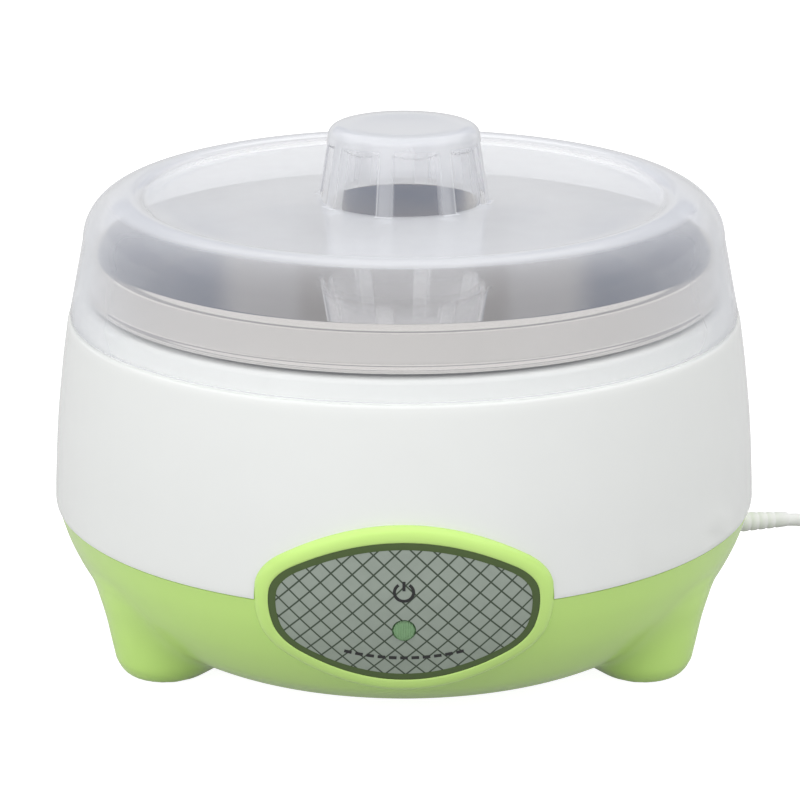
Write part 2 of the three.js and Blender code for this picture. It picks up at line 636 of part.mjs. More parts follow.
// A plug seen along its length: a rounded rectangle that grows from the tail to the face.
function plugBody() {
  const stations = [
    [0, 2.6, 2.6], [9, 3.6, 3.2], [12, 8, 5], [16, 10.6, 6.6], [30, 12, 7.1], [32, 11.4, 6.5],
  ];
  const sides = 20;
  const vertices = [];
  const faces = [];
  for (const [along, halfWidth, halfHeight] of stations) {
    for (let i = 0; i < sides; i += 1) {
      const a = (2 * Math.PI * i) / sides;
      const squared = (v) => Math.sign(v) * Math.sqrt(Math.abs(v));
      vertices.push([halfWidth * squared(Math.cos(a)), -along, halfHeight * squared(Math.sin(a))]);
    }
  }
  const first = vertices.push([0, 0, 0]) - 1;
  const last = vertices.push([0, -stations[stations.length - 1][0], 0]) - 1;
  const lastRow = (stations.length - 1) * sides;
  for (let i = 0; i < sides; i += 1) {
    const j = (i + 1) % sides;
    for (let row = 0; row < lastRow; row += sides) {
      faces.push([row + i, row + j, row + sides + j], [row + i, row + sides + j, row + sides + i]);
    }
    faces.push([first, j, i], [last, lastRow + i, lastRow + j]);
  }
  const geometry = new THREE.BufferGeometry();
  geometry.setAttribute("position", new THREE.Float32BufferAttribute(vertices.flat(), 3));
  geometry.setIndex(faces.flat());
  return geometry.translate(PLUG_X, PLUG_Y, PLUG_Z);
}
add("plug_body", plugBody(), cordGrey);

const bladeY = PLUG_Y - 32 - GAP;
for (const [i, x] of [-6.35, 6.35].entries()) {
  const blade = box(x - 0.75, x + 0.75, bladeY - 17, bladeY, PLUG_Z - 3.15, PLUG_Z + 3.15);
  add(`plug_blade_${i + 1}`, blade.translate(PLUG_X, 0, 0), aluminium);
}

export default root;
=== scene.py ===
import json
import math

import bmesh
import bpy
import numpy as np
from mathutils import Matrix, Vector


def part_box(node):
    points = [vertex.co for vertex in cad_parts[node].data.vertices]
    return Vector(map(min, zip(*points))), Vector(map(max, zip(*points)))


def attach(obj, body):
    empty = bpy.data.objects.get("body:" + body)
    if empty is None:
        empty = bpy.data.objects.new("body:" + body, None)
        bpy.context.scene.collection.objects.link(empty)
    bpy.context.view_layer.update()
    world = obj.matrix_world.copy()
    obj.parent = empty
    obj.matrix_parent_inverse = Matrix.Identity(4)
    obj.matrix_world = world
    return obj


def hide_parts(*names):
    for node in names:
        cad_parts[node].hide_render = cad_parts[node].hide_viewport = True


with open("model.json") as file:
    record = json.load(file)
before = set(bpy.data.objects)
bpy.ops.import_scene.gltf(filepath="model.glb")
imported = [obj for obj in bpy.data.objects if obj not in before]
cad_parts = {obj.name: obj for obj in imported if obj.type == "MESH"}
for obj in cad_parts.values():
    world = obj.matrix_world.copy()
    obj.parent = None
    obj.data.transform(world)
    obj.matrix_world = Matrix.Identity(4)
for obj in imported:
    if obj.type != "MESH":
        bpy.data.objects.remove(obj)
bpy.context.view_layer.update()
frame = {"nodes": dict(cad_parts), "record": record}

# A yogurt maker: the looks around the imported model. Sizes are in millimetres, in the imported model's frame,
# and are scaled to metres where a mesh is made. Round pieces share the Z axis; the front is towards -Y.

MM = 0.001
AROUND = 256  # sides of the large round pieces

# ---- driving dimensions, as in the design ----

SEAM_Z = 38.9
WALL = 2.2
BASE_FLOOR_Z = 4.0
LEDGE_Z = 89.0
DECK_Z = 94.2
WELL_FLOOR_Z = 34.0
FOOT_RING_R = 71.6
FOOT_AZIMUTHS = (60, 180, 300)  # from the front, positive towards +X
POST_RING_R = 62.0
POST_AZIMUTHS = (0, 120, 240)
POT_BOTTOM_Z = 37.2
POT_RIM_Z = 105.4
POT_R = 77.6
POT_LID_Z = 106.8
POT_LID_R = 82.0
POT_LID_FOOT_Z = 95.2
LID_FOOT_Z = 89.4
LID_FOOT_R = 87.9
LID_WALL = 1.5
SHOULDER_Z = 109.0
SHOULDER_WIDTH = 12.5
CREST_R = 71.5
CREST_Z = 120.8
RECESS_R = 67.3
RECESS_Z = 118.5
KNOB_TOP_Z = 138.0
KNOB_R = 19.8
KNOB_FOOT_R = 22.5
KNOB_RIBS = 8
RIB_AZIMUTH = -13.3
FLUTE_DEPTH = 1.0
PANEL_CENTRE_Z = 37.65
PANEL_HALF_HEIGHT = 19.45
PANEL_HALF_WIDTH = 33.2
RIM_WIDTH = 3.4
BORDER_WIDTH = 2.2
LENS_Z = 33.6
LENS_R = 2.9
CORD_ANGLE = 10
CORD_Z = 22.3
CORD_D = 3.5
RELIEF_TIP = 108.0
COIL_X, COIL_Y = 158.0, 1.5
OUTER_TURN_R = 22.8
PLUG_X, PLUG_Y, PLUG_Z = COIL_X + OUTER_TURN_R, -46.0, 7.2

# ---- camera ----

TARGET_Z = 62.8
CAMERA_DISTANCE = 800.0
CAMERA_ELEVATION = 17.45
FOCAL_MM = 134.64
CAMERA_SHIFT = -0.005


def add_camera():
    data = bpy.data.cameras.new("camera")
    data.lens = FOCAL_MM
    data.sensor_width = 36
    data.shift_x = CAMERA_SHIFT
    camera = bpy.data.objects.new("camera", data)
    bpy.context.scene.collection.objects.link(camera)
    tilt = math.radians(CAMERA_ELEVATION)
    back = Vector((0, -math.cos(tilt), math.sin(tilt)))
    camera.location = (Vector((0, 0, TARGET_Z)) + back * CAMERA_DISTANCE) * MM
    camera.rotation_euler = (math.pi / 2 - tilt, 0, 0)
    bpy.context.scene.camera = camera


add_camera()

# ---- helpers: outlines ----


def smooth_line(points, steps):
    """A Catmull-Rom line through the points, with `steps` pieces between two of them."""
    p = np.array(points, float)
    ends = np.vstack([2 * p[0] - p[1], p, 2 * p[-1] - p[-2]])
    made = []
    for i in range(len(p) - 1):
        a, b, c, d = ends[i : i + 4]
        linear, square, cube = c - a, 2 * a - 5 * b + 4 * c - d, 3 * b - a - 3 * c + d
        for t in np.arange(steps) / steps:
            made.append(0.5 * (2 * b + linear * t + square * t**2 + cube * t**3))
    return np.array([*made, p[-1]])


def arc(cx, cz, rx, rz, start, end, steps):
    """Points on an ellipse about (cx, cz), from one angle in degrees to another."""
    angles = np.radians(np.linspace(start, end, steps + 1))
    return [[cx + rx * math.cos(a), cz + rz * math.sin(a)] for a in angles]


def filleted(points, steps=4):
    """The outline with each corner [r, z, size] rounded over `size` of both its sides."""
    made = []
    for i, point in enumerate(points):
        here = np.array(point[:2], float)
        if len(point) < 3:
            made.append(here)
            continue
        before, after = (np.array(points[j % len(points)][:2], float) for j in (i - 1, i + 1))
        start = here + (before - here) * min(0.5, point[2] / np.linalg.norm(before - here))
        end = here + (after - here) * min(0.5, point[2] / np.linalg.norm(after - here))
        for t in np.linspace(0, 1, steps + 1):
            made.append((1 - t) ** 2 * start + 2 * t * (1 - t) * here + t**2 * end)
    return made


# ---- helpers: meshes ----

SHARP = 40  # degrees between two faces from which an edge stays sharp


def add_mesh(name, vertices, faces, sharp=SHARP):
    """A mesh object from millimetres, smooth except at edges over `sharp` degrees."""
    mesh = bpy.data.meshes.new(name)
    mesh.from_pydata((np.array(vertices, float) * MM).tolist(), [], faces)
    mesh.validate()
    finish_mesh(mesh, sharp)
    made = bpy.data.objects.new(name, mesh)
    bpy.context.scene.collection.objects.link(made)
    return made


def finish_mesh(mesh, sharp):
    """Merges doubled points, turns the faces outwards and smooths all edges under `sharp` degrees."""
    work = bmesh.new()
    work.from_mesh(mesh)
    bmesh.ops.remove_doubles(work, verts=work.verts, dist=1e-7)
    bmesh.ops.recalc_face_normals(work, faces=work.faces)
    work.to_mesh(mesh)
    work.free()
    mesh.shade_smooth()
    mesh.set_sharp_from_angle(angle=math.radians(sharp))
    mesh.update()


def grid_faces(rows, columns, wrap_rows=False):
    """Quads of a grid of rows * columns vertices, closed along its rows."""
    faces = []
    for i in range(rows if wrap_rows else rows - 1):
        for j in range(columns):
            a, b = i * columns, (i + 1) % rows * columns
            k = (j + 1) % columns
            faces.append((a + j, a + k, b + k, b + j))
    return faces


def lathe(name, profile, sides=AROUND, closed=False, shape=None):
    """Turns [radius, height] points about Z. `shape(r, azimuth, z)` may change the radii."""
    profile = np.array([p[:2] for p in profile], float)
    azimuths = np.radians(np.arange(sides) * 360 / sides)
    r, a = np.meshgrid(profile[:, 0], azimuths, indexing="ij")
    z = np.repeat(profile[:, 1:2], sides, axis=1)
    if shape:
        r = shape(r, np.degrees(a), z)
    vertices = np.stack([r * np.sin(a), -r * np.cos(a), z], axis=2).reshape(-1, 3)
    return add_mesh(name, vertices, grid_faces(len(profile), sides, wrap_rows=closed))


def turned(piece, matrix_rows, offset):
    """Moves a piece's own mesh: new axes as rows, then an offset in millimetres."""
    mesh = piece.data
    points = np.zeros(len(mesh.vertices) * 3)
    mesh.vertices.foreach_get("co", points)
    moved = points.reshape(-1, 3) @ np.array(matrix_rows, float) + np.array(offset) * MM
    mesh.vertices.foreach_set("co", moved.ravel())
    finish_mesh(mesh, SHARP)
    return piece


FORWARD = ((1, 0, 0), (0, 0, 1), (0, -1, 0))  # a lathe's height becomes the distance in front of the Z axis


def along_cord(piece, z):
    """Lays a lathe's axis along the lead's radial line."""
    c, s = math.cos(math.radians(CORD_ANGLE)), math.sin(math.radians(CORD_ANGLE))
    return turned(piece, ((0, 0, -1), (-s, c, 0), (c, s, 0)), (0, 0, z))


def boolean(piece, tool, operation):
    """Joins or cuts with another mesh object, which is then removed."""
    modifier = piece.modifiers.new("boolean", "BOOLEAN")
    modifier.operation = operation
    modifier.solver = "EXACT"
    modifier.object = tool
    apply_modifiers(piece)
    bpy.data.objects.remove(tool)


def apply_modifiers(piece):
    """Makes the mesh what its modifiers show."""
    made = bpy.data.meshes.new_from_object(piece.evaluated_get(bpy.context.evaluated_depsgraph_get()))
    piece.modifiers.clear()
    piece.data = made
    finish_mesh(made, SHARP)


def around(r, azimuth):
    """The x and y of a place at radius r, with its azimuth in degrees from the front."""
    return r * math.sin(math.radians(azimuth)), -r * math.cos(math.radians(azimuth))


def place(piece, body, material, slot, *nodes):
    """The piece's material, the body it rides on and the CAD nodes it stands for; `slot` is not used."""
    piece.data.materials.clear()
    piece.data.materials.append(material)
    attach(piece, body)
    if nodes:
        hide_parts(*nodes)
    return piece


# ---- helpers: materials ----


def srgb(r, g, b):
    """An 8-bit sRGB colour as linear values."""
    values = [v / 255 for v in (r, g, b)]
    return (*[v / 12.92 if v <= 0.04045 else ((v + 0.055) / 1.055) ** 2.4 for v in values], 1)


class Surface:
    """The node tree of a material or of the world, with a short way to add a node."""

    def __init__(self, name, world_tree=None):
        if world_tree:
            self.tree = world_tree
        else:
            self.material = bpy.data.materials.new(name)
            self.material.use_nodes = True
            self.tree = self.material.node_tree
        self.tree.nodes.clear()
        self.output = self.tree.nodes.new("ShaderNodeOutput" + ("World" if world_tree else "Material"))

    def add(self, kind, inputs, **settings):
        node = self.tree.nodes.new("ShaderNode" + kind)
        for key, value in settings.items():
            setattr(node, key, value)
        for key, value in inputs.items():
            if isinstance(value, bpy.types.NodeSocket):
                self.tree.links.new(value, node.inputs[key])
            else:
                node.inputs[key].default_value = value
        return node

    def math(self, operation, *values):
        return self.add("Math", dict(enumerate(values)), operation=operation).outputs[0]

    def place(self):
        """A point's place on the object, in metres."""
        return self.add("TexCoord", {}).outputs["Object"]

    def noise(self, scale, detail=2.0, vector=None):
        inputs = {"Vector": vector or self.place(), "Scale": scale, "Detail": detail}
        return self.add("TexNoise", inputs).outputs["Fac"]

    def between(self, fac, low, high):
        """A number that runs from low to high as fac runs over a noise's usual values."""
        inputs = {"Value": fac, "From Min": 0.3, "From Max": 0.7, "To Min": low, "To Max": high}
        return self.add("MapRange", inputs).outputs["Result"]

    def ramp(self, value, start, end):
        """0 before `start`, 1 after `end`, smooth in between."""
        inputs = {"Value": value, "From Min": start, "From Max": end}
        return self.add("MapRange", inputs, interpolation_type="SMOOTHSTEP").outputs["Result"]

    def blend(self, fac, a, b):
        node = self.tree.nodes.new("ShaderNodeMix")
        node.data_type = "RGBA"
        for socket, value in ((node.inputs[0], fac), (node.inputs[6], a), (node.inputs[7], b)):
            if isinstance(value, bpy.types.NodeSocket):
                self.tree.links.new(value, socket)
            else:
                socket.default_value = value
        return node.outputs[2]

    def bump(self, height, distance):
        return self.add("Bump", {"Height": height, "Distance": distance}).outputs["Normal"]

    def finish(self, shader):
        self.tree.links.new(shader, self.output.inputs["Surface"])
        return self.material


def plastic(name, color, dark, roughness, orange_peel=0.000002, mottle=60, coat=0.0, subsurface=0.0):
    """Moulded plastic: faint colour drift, uneven gloss and a fine orange-peel surface."""
    s = Surface(name)
    tint = s.blend(s.noise(mottle), color, dark)
    rough = s.between(s.noise(220, 3), roughness * 0.96, roughness * 1.04)
    fine = s.bump(s.noise(900, 2), orange_peel)
    inputs = {"Base Color": tint, "Roughness": rough, "Normal": fine}
    inputs |= {"Coat Weight": coat, "Coat Roughness": 0.06}
    if subsurface:
        inputs |= {"Subsurface Weight": subsurface, "Subsurface Radius": (1, 1, 1)}
        inputs |= {"Subsurface Scale": 2 * MM}
    return s.finish(s.add("BsdfPrincipled", inputs).outputs[0])


def metal(name, color, roughness, grain=None, depth=0.000004):
    """Sheet metal. `grain` turned gives fine rings about Z, straight gives a fine grain."""
    s = Surface(name)
    where = s.place()
    if grain == "turned":
        flat = s.add("VectorMath", {0: where, 1: (1, 1, 0)}, operation="MULTIPLY").outputs[0]
        radius = s.add("VectorMath", {0: flat}, operation="LENGTH").outputs["Value"]
        height = s.add("SeparateXYZ", {"Vector": where}).outputs["Z"]
        where = s.add("CombineXYZ", {"X": radius, "Y": height, "Z": 0.0}).outputs[0]
    lines = s.noise(3200 if grain else 900, 3, where)
    drift = s.noise(45, 2)
    tint = s.blend(drift, color, tuple(c * 0.93 for c in color[:3]) + (1,))
    rough = s.math("ADD", s.between(lines, roughness * 0.8, roughness * 1.2), s.between(drift, 0.0, 0.02))
    inputs = {"Base Color": tint, "Metallic": 1.0, "Roughness": rough, "Normal": s.bump(lines, depth)}
    return s.finish(s.add("BsdfPrincipled", inputs).outputs[0])


MILK_DEPTH = 0.118  # how milky one face of the dome's wall is, seen square on
THICK_PARTS = 2.2  # how much milkier the knob's ribs and cap and the crest are
LEAST_COSINE = 0.15
SLANT_POWER = 1.45  # how fast the haze grows as the wall is seen more edge-on
THROUGH_SHADOW, THROUGH_DIFFUSE, THROUGH_GLOSSY = 1.0, 0.6, 0.88  # how much clearer it is to light on its way
MIRRORED_KNOB_HIGHLIGHT = 3.6  # how much milkier the upper part of the knob is in a mirror: a painted highlight, its bright haze standing in for softbox light inside the knob as the steel mirrors it


def thick_places(s, parts, knob):
    """1 on the knob's ribs, on its cap and on the crest around the recess, and 0 elsewhere."""
    azimuth = s.math("ARCTAN2", parts["X"], s.math("MULTIPLY", parts["Y"], -1.0))
    turns = s.math("MULTIPLY_ADD", azimuth, KNOB_RIBS, -KNOB_RIBS * math.radians(RIB_AZIMUTH))
    on_rib = s.ramp(s.math("COSINE", turns), 0.62, 0.8)
    cap = s.ramp(parts["Z"], (KNOB_TOP_Z - 4.5) * MM, (KNOB_TOP_Z - 3) * MM)
    high = s.ramp(parts["Z"], (CREST_Z - 1.6) * MM, (CREST_Z - 0.5) * MM)
    crest = s.math("MULTIPLY", high, s.math("SUBTRACT", 1.0, knob))
    return s.math("MAXIMUM", s.math("MULTIPLY", knob, s.math("MAXIMUM", on_rib, cap)), crest)


def hidden_share(s, parts, knob):
    """How much of the haze a ray meets: all of it on the way to the eye, less on the way in."""
    path = s.add("LightPath", {}).outputs
    clearer = s.math("MULTIPLY", path["Is Shadow Ray"], THROUGH_SHADOW)
    clearer = s.math("MULTIPLY_ADD", path["Is Diffuse Ray"], THROUGH_DIFFUSE, clearer)
    # painted highlight: the knob's upper part shows more of its bright haze where the steel mirrors it
    high = s.math("MULTIPLY", knob, s.ramp(parts["Z"], (KNOB_TOP_Z - 22) * MM, (KNOB_TOP_Z - 12) * MM))
    mirrored_knob_highlight = s.math("MULTIPLY", path["Is Glossy Ray"], s.math("MULTIPLY_ADD", high, -MIRRORED_KNOB_HIGHLIGHT, 1.0))
    clearer = s.math("MULTIPLY_ADD", mirrored_knob_highlight, THROUGH_GLOSSY, clearer)
    return s.math("SUBTRACT", 1.0, s.math("MINIMUM", clearer, 1.0))


def milky(name):
    """Thin milky plastic: the more wall a sight line crosses, the more haze it picks up."""
    s = Surface(name)
    facing = s.add("LayerWeight", {"Blend": 0.5}).outputs["Facing"]
    cosine = s.math("MAXIMUM", s.math("SUBTRACT", 1.0, facing), LEAST_COSINE)
    parts = s.add("SeparateXYZ", {"Vector": s.place()}).outputs
    squares = [s.math("POWER", parts[axis], 2.0) for axis in "XY"]
    radius = s.math("SQRT", s.math("ADD", *squares))
    knob = s.ramp(radius, (KNOB_FOOT_R + 1.5) * MM, (KNOB_FOOT_R + 0.6) * MM)
    thick = s.math("MULTIPLY_ADD", thick_places(s, parts, knob), THICK_PARTS, 1.0)
    depth = s.math("MULTIPLY", s.between(s.noise(55, 3), MILK_DEPTH * 0.94, MILK_DEPTH * 1.06), thick)
    crossed = s.math("DIVIDE", depth, s.math("POWER", cosine, SLANT_POWER))
    clear = s.math("EXPONENT", s.math("MULTIPLY", crossed, -1.0))
    haze = s.math("MULTIPLY", s.math("SUBTRACT", 1.0, clear), hidden_share(s, parts, knob))
    alpha = s.math("MINIMUM", haze, 1.0)
    fine = s.bump(s.noise(700, 2), 0.000001)
    inputs = {"Base Color": srgb(227, 229, 234), "Roughness": 0.08, "Alpha": alpha, "Normal": fine}
    return s.finish(s.add("BsdfPrincipled", inputs).outputs[0])


GRID_SIDE = 3.62 * MM  # side of the label's printed squares
GRID_LINE = 0.15 * MM  # half the width of a printed line
GRID_CROSSING = (0.4 * MM, 30.4 * MM)  # x and z of one crossing


def printed_label(name):
    """Silver foil with fine lines that cross at 45 degrees."""
    s = Surface(name)
    parts = s.add("SeparateXYZ", {"Vector": s.place()}).outputs
    x = s.math("SUBTRACT", parts["X"], GRID_CROSSING[0])
    z = s.math("SUBTRACT", parts["Z"], GRID_CROSSING[1])
    lines = []
    for operation in ("ADD", "SUBTRACT"):
        across = s.math("MULTIPLY", s.math(operation, x, z), math.sqrt(0.5))
        away = s.math("PINGPONG", across, GRID_SIDE / 2)
        ranges = {"Value": away, "From Min": GRID_LINE, "From Max": GRID_LINE * 1.7}
        ranges |= {"To Min": 1.0, "To Max": 0.0}
        lines.append(s.add("MapRange", ranges).outputs["Result"])
    ink = s.math("MAXIMUM", *lines)
    foil = s.blend(s.noise(400, 4), srgb(165, 175, 165), srgb(151, 161, 151))
    color = s.blend(ink, foil, srgb(66, 78, 64))
    rough = s.between(s.noise(1500, 2), 0.36, 0.46)
    normal = s.bump(s.noise(2600, 2), 0.000004)
    inputs = {"Base Color": color, "Metallic": 0.35, "Roughness": rough, "Normal": normal}
    return s.finish(s.add("BsdfPrincipled", inputs).outputs[0])


def lens_green(name):
    """Green translucent plastic with fine vertical prisms."""
    s = Surface(name)
    parts = s.add("SeparateXYZ", {"Vector": s.place()}).outputs
    prisms = s.math("PINGPONG", parts["X"], 0.3 * MM)
    tint = s.blend(s.noise(1800, 2), srgb(140, 182, 134), srgb(118, 160, 112))
    normal = s.bump(prisms, 0.5)
    inputs = {"Base Color": tint, "Roughness": 0.25, "Normal": normal, "Transmission Weight": 0.15}
    return s.finish(s.add("BsdfPrincipled", inputs).outputs[0])


materials = {
    "white_plastic": plastic(
        "white_plastic", srgb(240, 242, 240), srgb(238, 240, 238), 0.16, coat=0.3, subsurface=0.15,
    ),
    "green_plastic": plastic(
        "green_plastic", srgb(207, 245, 137), srgb(204, 243, 133), 0.26,
        orange_peel=0.0000005, coat=0.2, subsurface=0.12,
    ),
    "milky_plastic": milky("milky_plastic"),
    "stainless_steel": metal("stainless_steel", srgb(222, 218, 214), 0.04, "turned", 0.0000002),
    "zinc_steel": metal("zinc_steel", srgb(186, 188, 190), 0.32, "straight"),
    "aluminium": metal("aluminium", srgb(214, 215, 217), 0.3, "turned"),
    "silver_label": printed_label("silver_label"),
    "label_border": plastic("label_border", srgb(76, 96, 48), srgb(68, 88, 42), 0.35, mottle=300),
    "green_lens": lens_green("green_lens"),
    "circuit_board": plastic("circuit_board", srgb(183, 154, 92), srgb(170, 140, 80), 0.55, 0.000008, 900),
    "white_ceramic": plastic("white_ceramic", srgb(233, 228, 216), srgb(226, 220, 206), 0.5, 0.000004, 400),
    "silicone": plastic("silicone", srgb(216, 213, 205), srgb(208, 205, 197), 0.6, 0.000004, 300),
    "fuse_metal": metal("fuse_metal", srgb(200, 200, 200), 0.28, "straight"),
    "cord_plastic": plastic("cord_plastic", srgb(250, 250, 249), srgb(246, 246, 245), 0.42, 0.000004, 150),
    "plated_brass": metal("plated_brass", srgb(208, 204, 196), 0.2, "straight"),
    "brown_wire": plastic("brown_wire", srgb(122, 74, 42), srgb(112, 66, 36), 0.45, 0.000004, 400),
    "blue_wire": plastic("blue_wire", srgb(47, 95, 168), srgb(40, 86, 156), 0.45, 0.000004, 400),
    "red_wire": plastic("red_wire", srgb(176, 58, 48), srgb(164, 50, 42), 0.45, 0.000004, 400),
    "black_wire": plastic("black_wire", srgb(34, 35, 36), srgb(28, 29, 30), 0.45, 0.000004, 400),
}

# ---- the mains lead ----

COIL_STEP = 3.65  # from one turn to the next, in a layer
LAYER_STEP = 3.7
LAYERS = 4
FIRST_LAYER_Z = 2.75
TURN_BACK = 60  # degrees that a layer's last turn keeps its radius
RISE = 150  # degrees over which the cord climbs to the next layer
COIL_DEGREES = 8.25 * 360
POINTS_A_TURN = 24


def cord_point(s, z):
    """A point of the lead's straight start, `s` out from the Z axis."""
    angle = math.radians(CORD_ANGLE)
    return [s * math.cos(angle), s * math.sin(angle), z]


def coil_points():
    """The turns: each layer is a flat spiral, inwards and outwards by turns, seen from above clockwise."""
    sweep = (COIL_DEGREES - (LAYERS - 1) * TURN_BACK) / LAYERS
    inner = OUTER_TURN_R - COIL_STEP * sweep / 360
    points = []
    for angle in np.arange(0, COIL_DEGREES + 1, 360 / POINTS_A_TURN):
        layer = min(int(angle // (sweep + TURN_BACK)), LAYERS - 1)
        share = min(1.0, (angle - layer * (sweep + TURN_BACK)) / sweep)
        r = OUTER_TURN_R + (inner - OUTER_TURN_R) * (share if layer % 2 == 0 else 1 - share)
        z = FIRST_LAYER_Z
        for climb in range(1, LAYERS):
            middle = climb * (sweep + TURN_BACK) - TURN_BACK / 2
            t = min(1.0, max(0.0, (angle - middle) / RISE + 0.5))
            z += LAYER_STEP * (1 - math.cos(math.pi * t)) / 2
        a = math.radians(angle)
        points.append([COIL_X + r * math.sin(a), COIL_Y + r * math.cos(a), z])
    return points


def add_cord():
    """The whole lead as one curve: out of the relief, down to the table, round the coil, on to the plug."""
    lead = [
        cord_point(RELIEF_TIP - 4, CORD_Z), cord_point(108.3, 22.1), cord_point(113, 21.5),
        cord_point(120, 18.6), [125, 22.6, 14], [131, 23.6, 8.2], [137, 24.2, 4.4], [143, 24.3, 2.9],
    ]
    tail = [
        [PLUG_X, -5, 13.8], [PLUG_X, COIL_Y - 13.4, 13.1], [PLUG_X, -20, 11.4], [PLUG_X, -30, 8.9],
        [PLUG_X, -38, 7.6], [PLUG_X, PLUG_Y - 3, PLUG_Z],
    ]
    to_coil = [150.5, 24.3, FIRST_LAYER_Z]
    route = np.array([*smooth_line(lead, 3), to_coil, *coil_points(), *smooth_line(tail, 3)])
    curve = bpy.data.curves.new("mains_cord", "CURVE")
    curve.dimensions = "3D"
    curve.bevel_depth = CORD_D / 2 * MM
    curve.bevel_resolution = 5
    curve.resolution_u = 3
    curve.use_fill_caps = True
    spline = curve.splines.new("BEZIER")
    spline.bezier_points.add(len(route) - 1)
    for point, place_mm in zip(spline.bezier_points, route):
        point.co = Vector(place_mm) * MM
        point.handle_left_type = point.handle_right_type = "AUTO"
    made = bpy.data.objects.new("mains_cord", curve)
    bpy.context.scene.collection.objects.link(made)
    place(made, "housing", materials["cord_plastic"], "cord_plastic", "power_cord", "cord_coil", "cord_tail")
    length = float(np.linalg.norm(np.diff(route, axis=0), axis=1).sum()) * MM
    return made, length


def strain_relief():
    """A flanged bush that tapers along the lead, with shallow flexing grooves."""
    profile = filleted([
        [0, 77.9], [4.6, 77.9, 0.3], [4.6, 79.2, 0.3], [3.2, 79.2], [3.2, 89.9], [4.4, 89.9, 0.3],
        [4.4, 91.2, 0.6], [2.95, 92.2, 0.8],
    ])
    grooves = 5
    for i in range(grooves):
        s = 94 + i * 2.4
        r = 2.9 - 0.85 * (s - 92.2) / (RELIEF_TIP - 92.2)
        profile += [[r, s], [r - 0.22, s + 0.35], [r - 0.22, s + 0.75], [r - 0.07, s + 1.1]]
    profile += [[1.98, RELIEF_TIP - 0.3], [1.85, RELIEF_TIP], [0, RELIEF_TIP]]
    piece = along_cord(lathe("cord_strain_relief", profile, 48), CORD_Z)
    return place(piece, "housing", materials["cord_plastic"], "cord_plastic", "strain_relief")


def superellipse(width, height, sides):
    """A ring of points between an ellipse and a rectangle."""
    a = np.radians(np.arange(sides) * 360 / sides)
    squared = [np.sign(f(a)) * np.sqrt(np.abs(f(a))) for f in (np.cos, np.sin)]
    return np.stack([width * squared[0], height * squared[1]], axis=1)


def plug():
    """The moulded plug: a tapered tail, shoulders, and three finger grooves on each side."""
    sides = 64
    rows = [
        [0, 2.4, 2.4], [0.4, 2.6, 2.6], [3, 2.8, 2.7], [6, 3.1, 2.9], [9, 3.6, 3.2], [10.4, 5.2, 3.9],
        [12, 8, 5], [13.8, 9.7, 6.0], [16, 10.5, 6.5], [22, 11.4, 6.9], [28, 11.9, 7.1], [31, 12, 7.1],
        [31.8, 11.7, 6.8], [32, 11.3, 6.4],
    ]
    line = smooth_line(rows, 6)
    vertices = []
    for along, width, height in line:
        groove = sum(math.exp(-(((along - at) / 0.8) ** 2)) for at in (18.5, 22, 25.5))
        ring = superellipse(width, height, sides)
        grip = 0.6 * groove * (np.abs(ring[:, 0]) / width) ** 4
        ring[:, 0] -= np.sign(ring[:, 0]) * grip
        vertices += [[x, -along, z] for x, z in ring]
    faces = grid_faces(len(line), sides)
    for row in (0, len(line) - 1):
        centre = len(vertices)
        vertices.append([0, -line[row][0], 0])
        faces += [(centre, row * sides + i, row * sides + (i + 1) % sides) for i in range(sides)]
    piece = add_mesh("plug_moulding", np.array(vertices) + (PLUG_X, PLUG_Y, PLUG_Z), faces, 50)
    return place(piece, "housing", materials["cord_plastic"], "cord_plastic", "plug_body")


def plug_blade(number):
    """A flat blade with a chamfered tip and a round hole."""
    low, high = (np.array(c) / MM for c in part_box(f"plug_blade_{number}"))
    y0, y1, z0, z1 = high[1], low[1], low[2], high[2]
    outline = filleted([[y0, z0], [y1, z0, 1.2], [y1, z1, 1.2], [y0, z1]])
    hole_r, hole_steps, from_tip = 1.4, 24, 4
    hole = arc(y1 + from_tip, (z0 + z1) / 2, hole_r, hole_r, 0, 360, hole_steps)[:-1]
    work = bmesh.new()
    edges = []
    for loop in (outline, hole):
        ring = [work.verts.new((low[0] * MM, y * MM, z * MM)) for y, z in loop]
        edges += [work.edges.new((ring[i], ring[(i + 1) % len(ring)])) for i in range(len(ring))]
    faces = bmesh.ops.triangle_fill(work, edges=edges, use_beauty=True)["geom"]
    flat = [f for f in faces if isinstance(f, bmesh.types.BMFace)]
    made = bmesh.ops.extrude_face_region(work, geom=flat)["geom"]
    moved = [v for v in made if isinstance(v, bmesh.types.BMVert)]
    bmesh.ops.translate(work, verts=moved, vec=((high[0] - low[0]) * MM, 0, 0))
    mesh = bpy.data.meshes.new(f"plug_pin_{number}")
    work.to_mesh(mesh)
    work.free()
    finish_mesh(mesh, 30)
    piece = bpy.data.objects.new(mesh.name, mesh)
    bpy.context.scene.collection.objects.link(piece)
    return place(piece, "housing", materials["plated_brass"], "plated_brass", f"plug_blade_{number}")


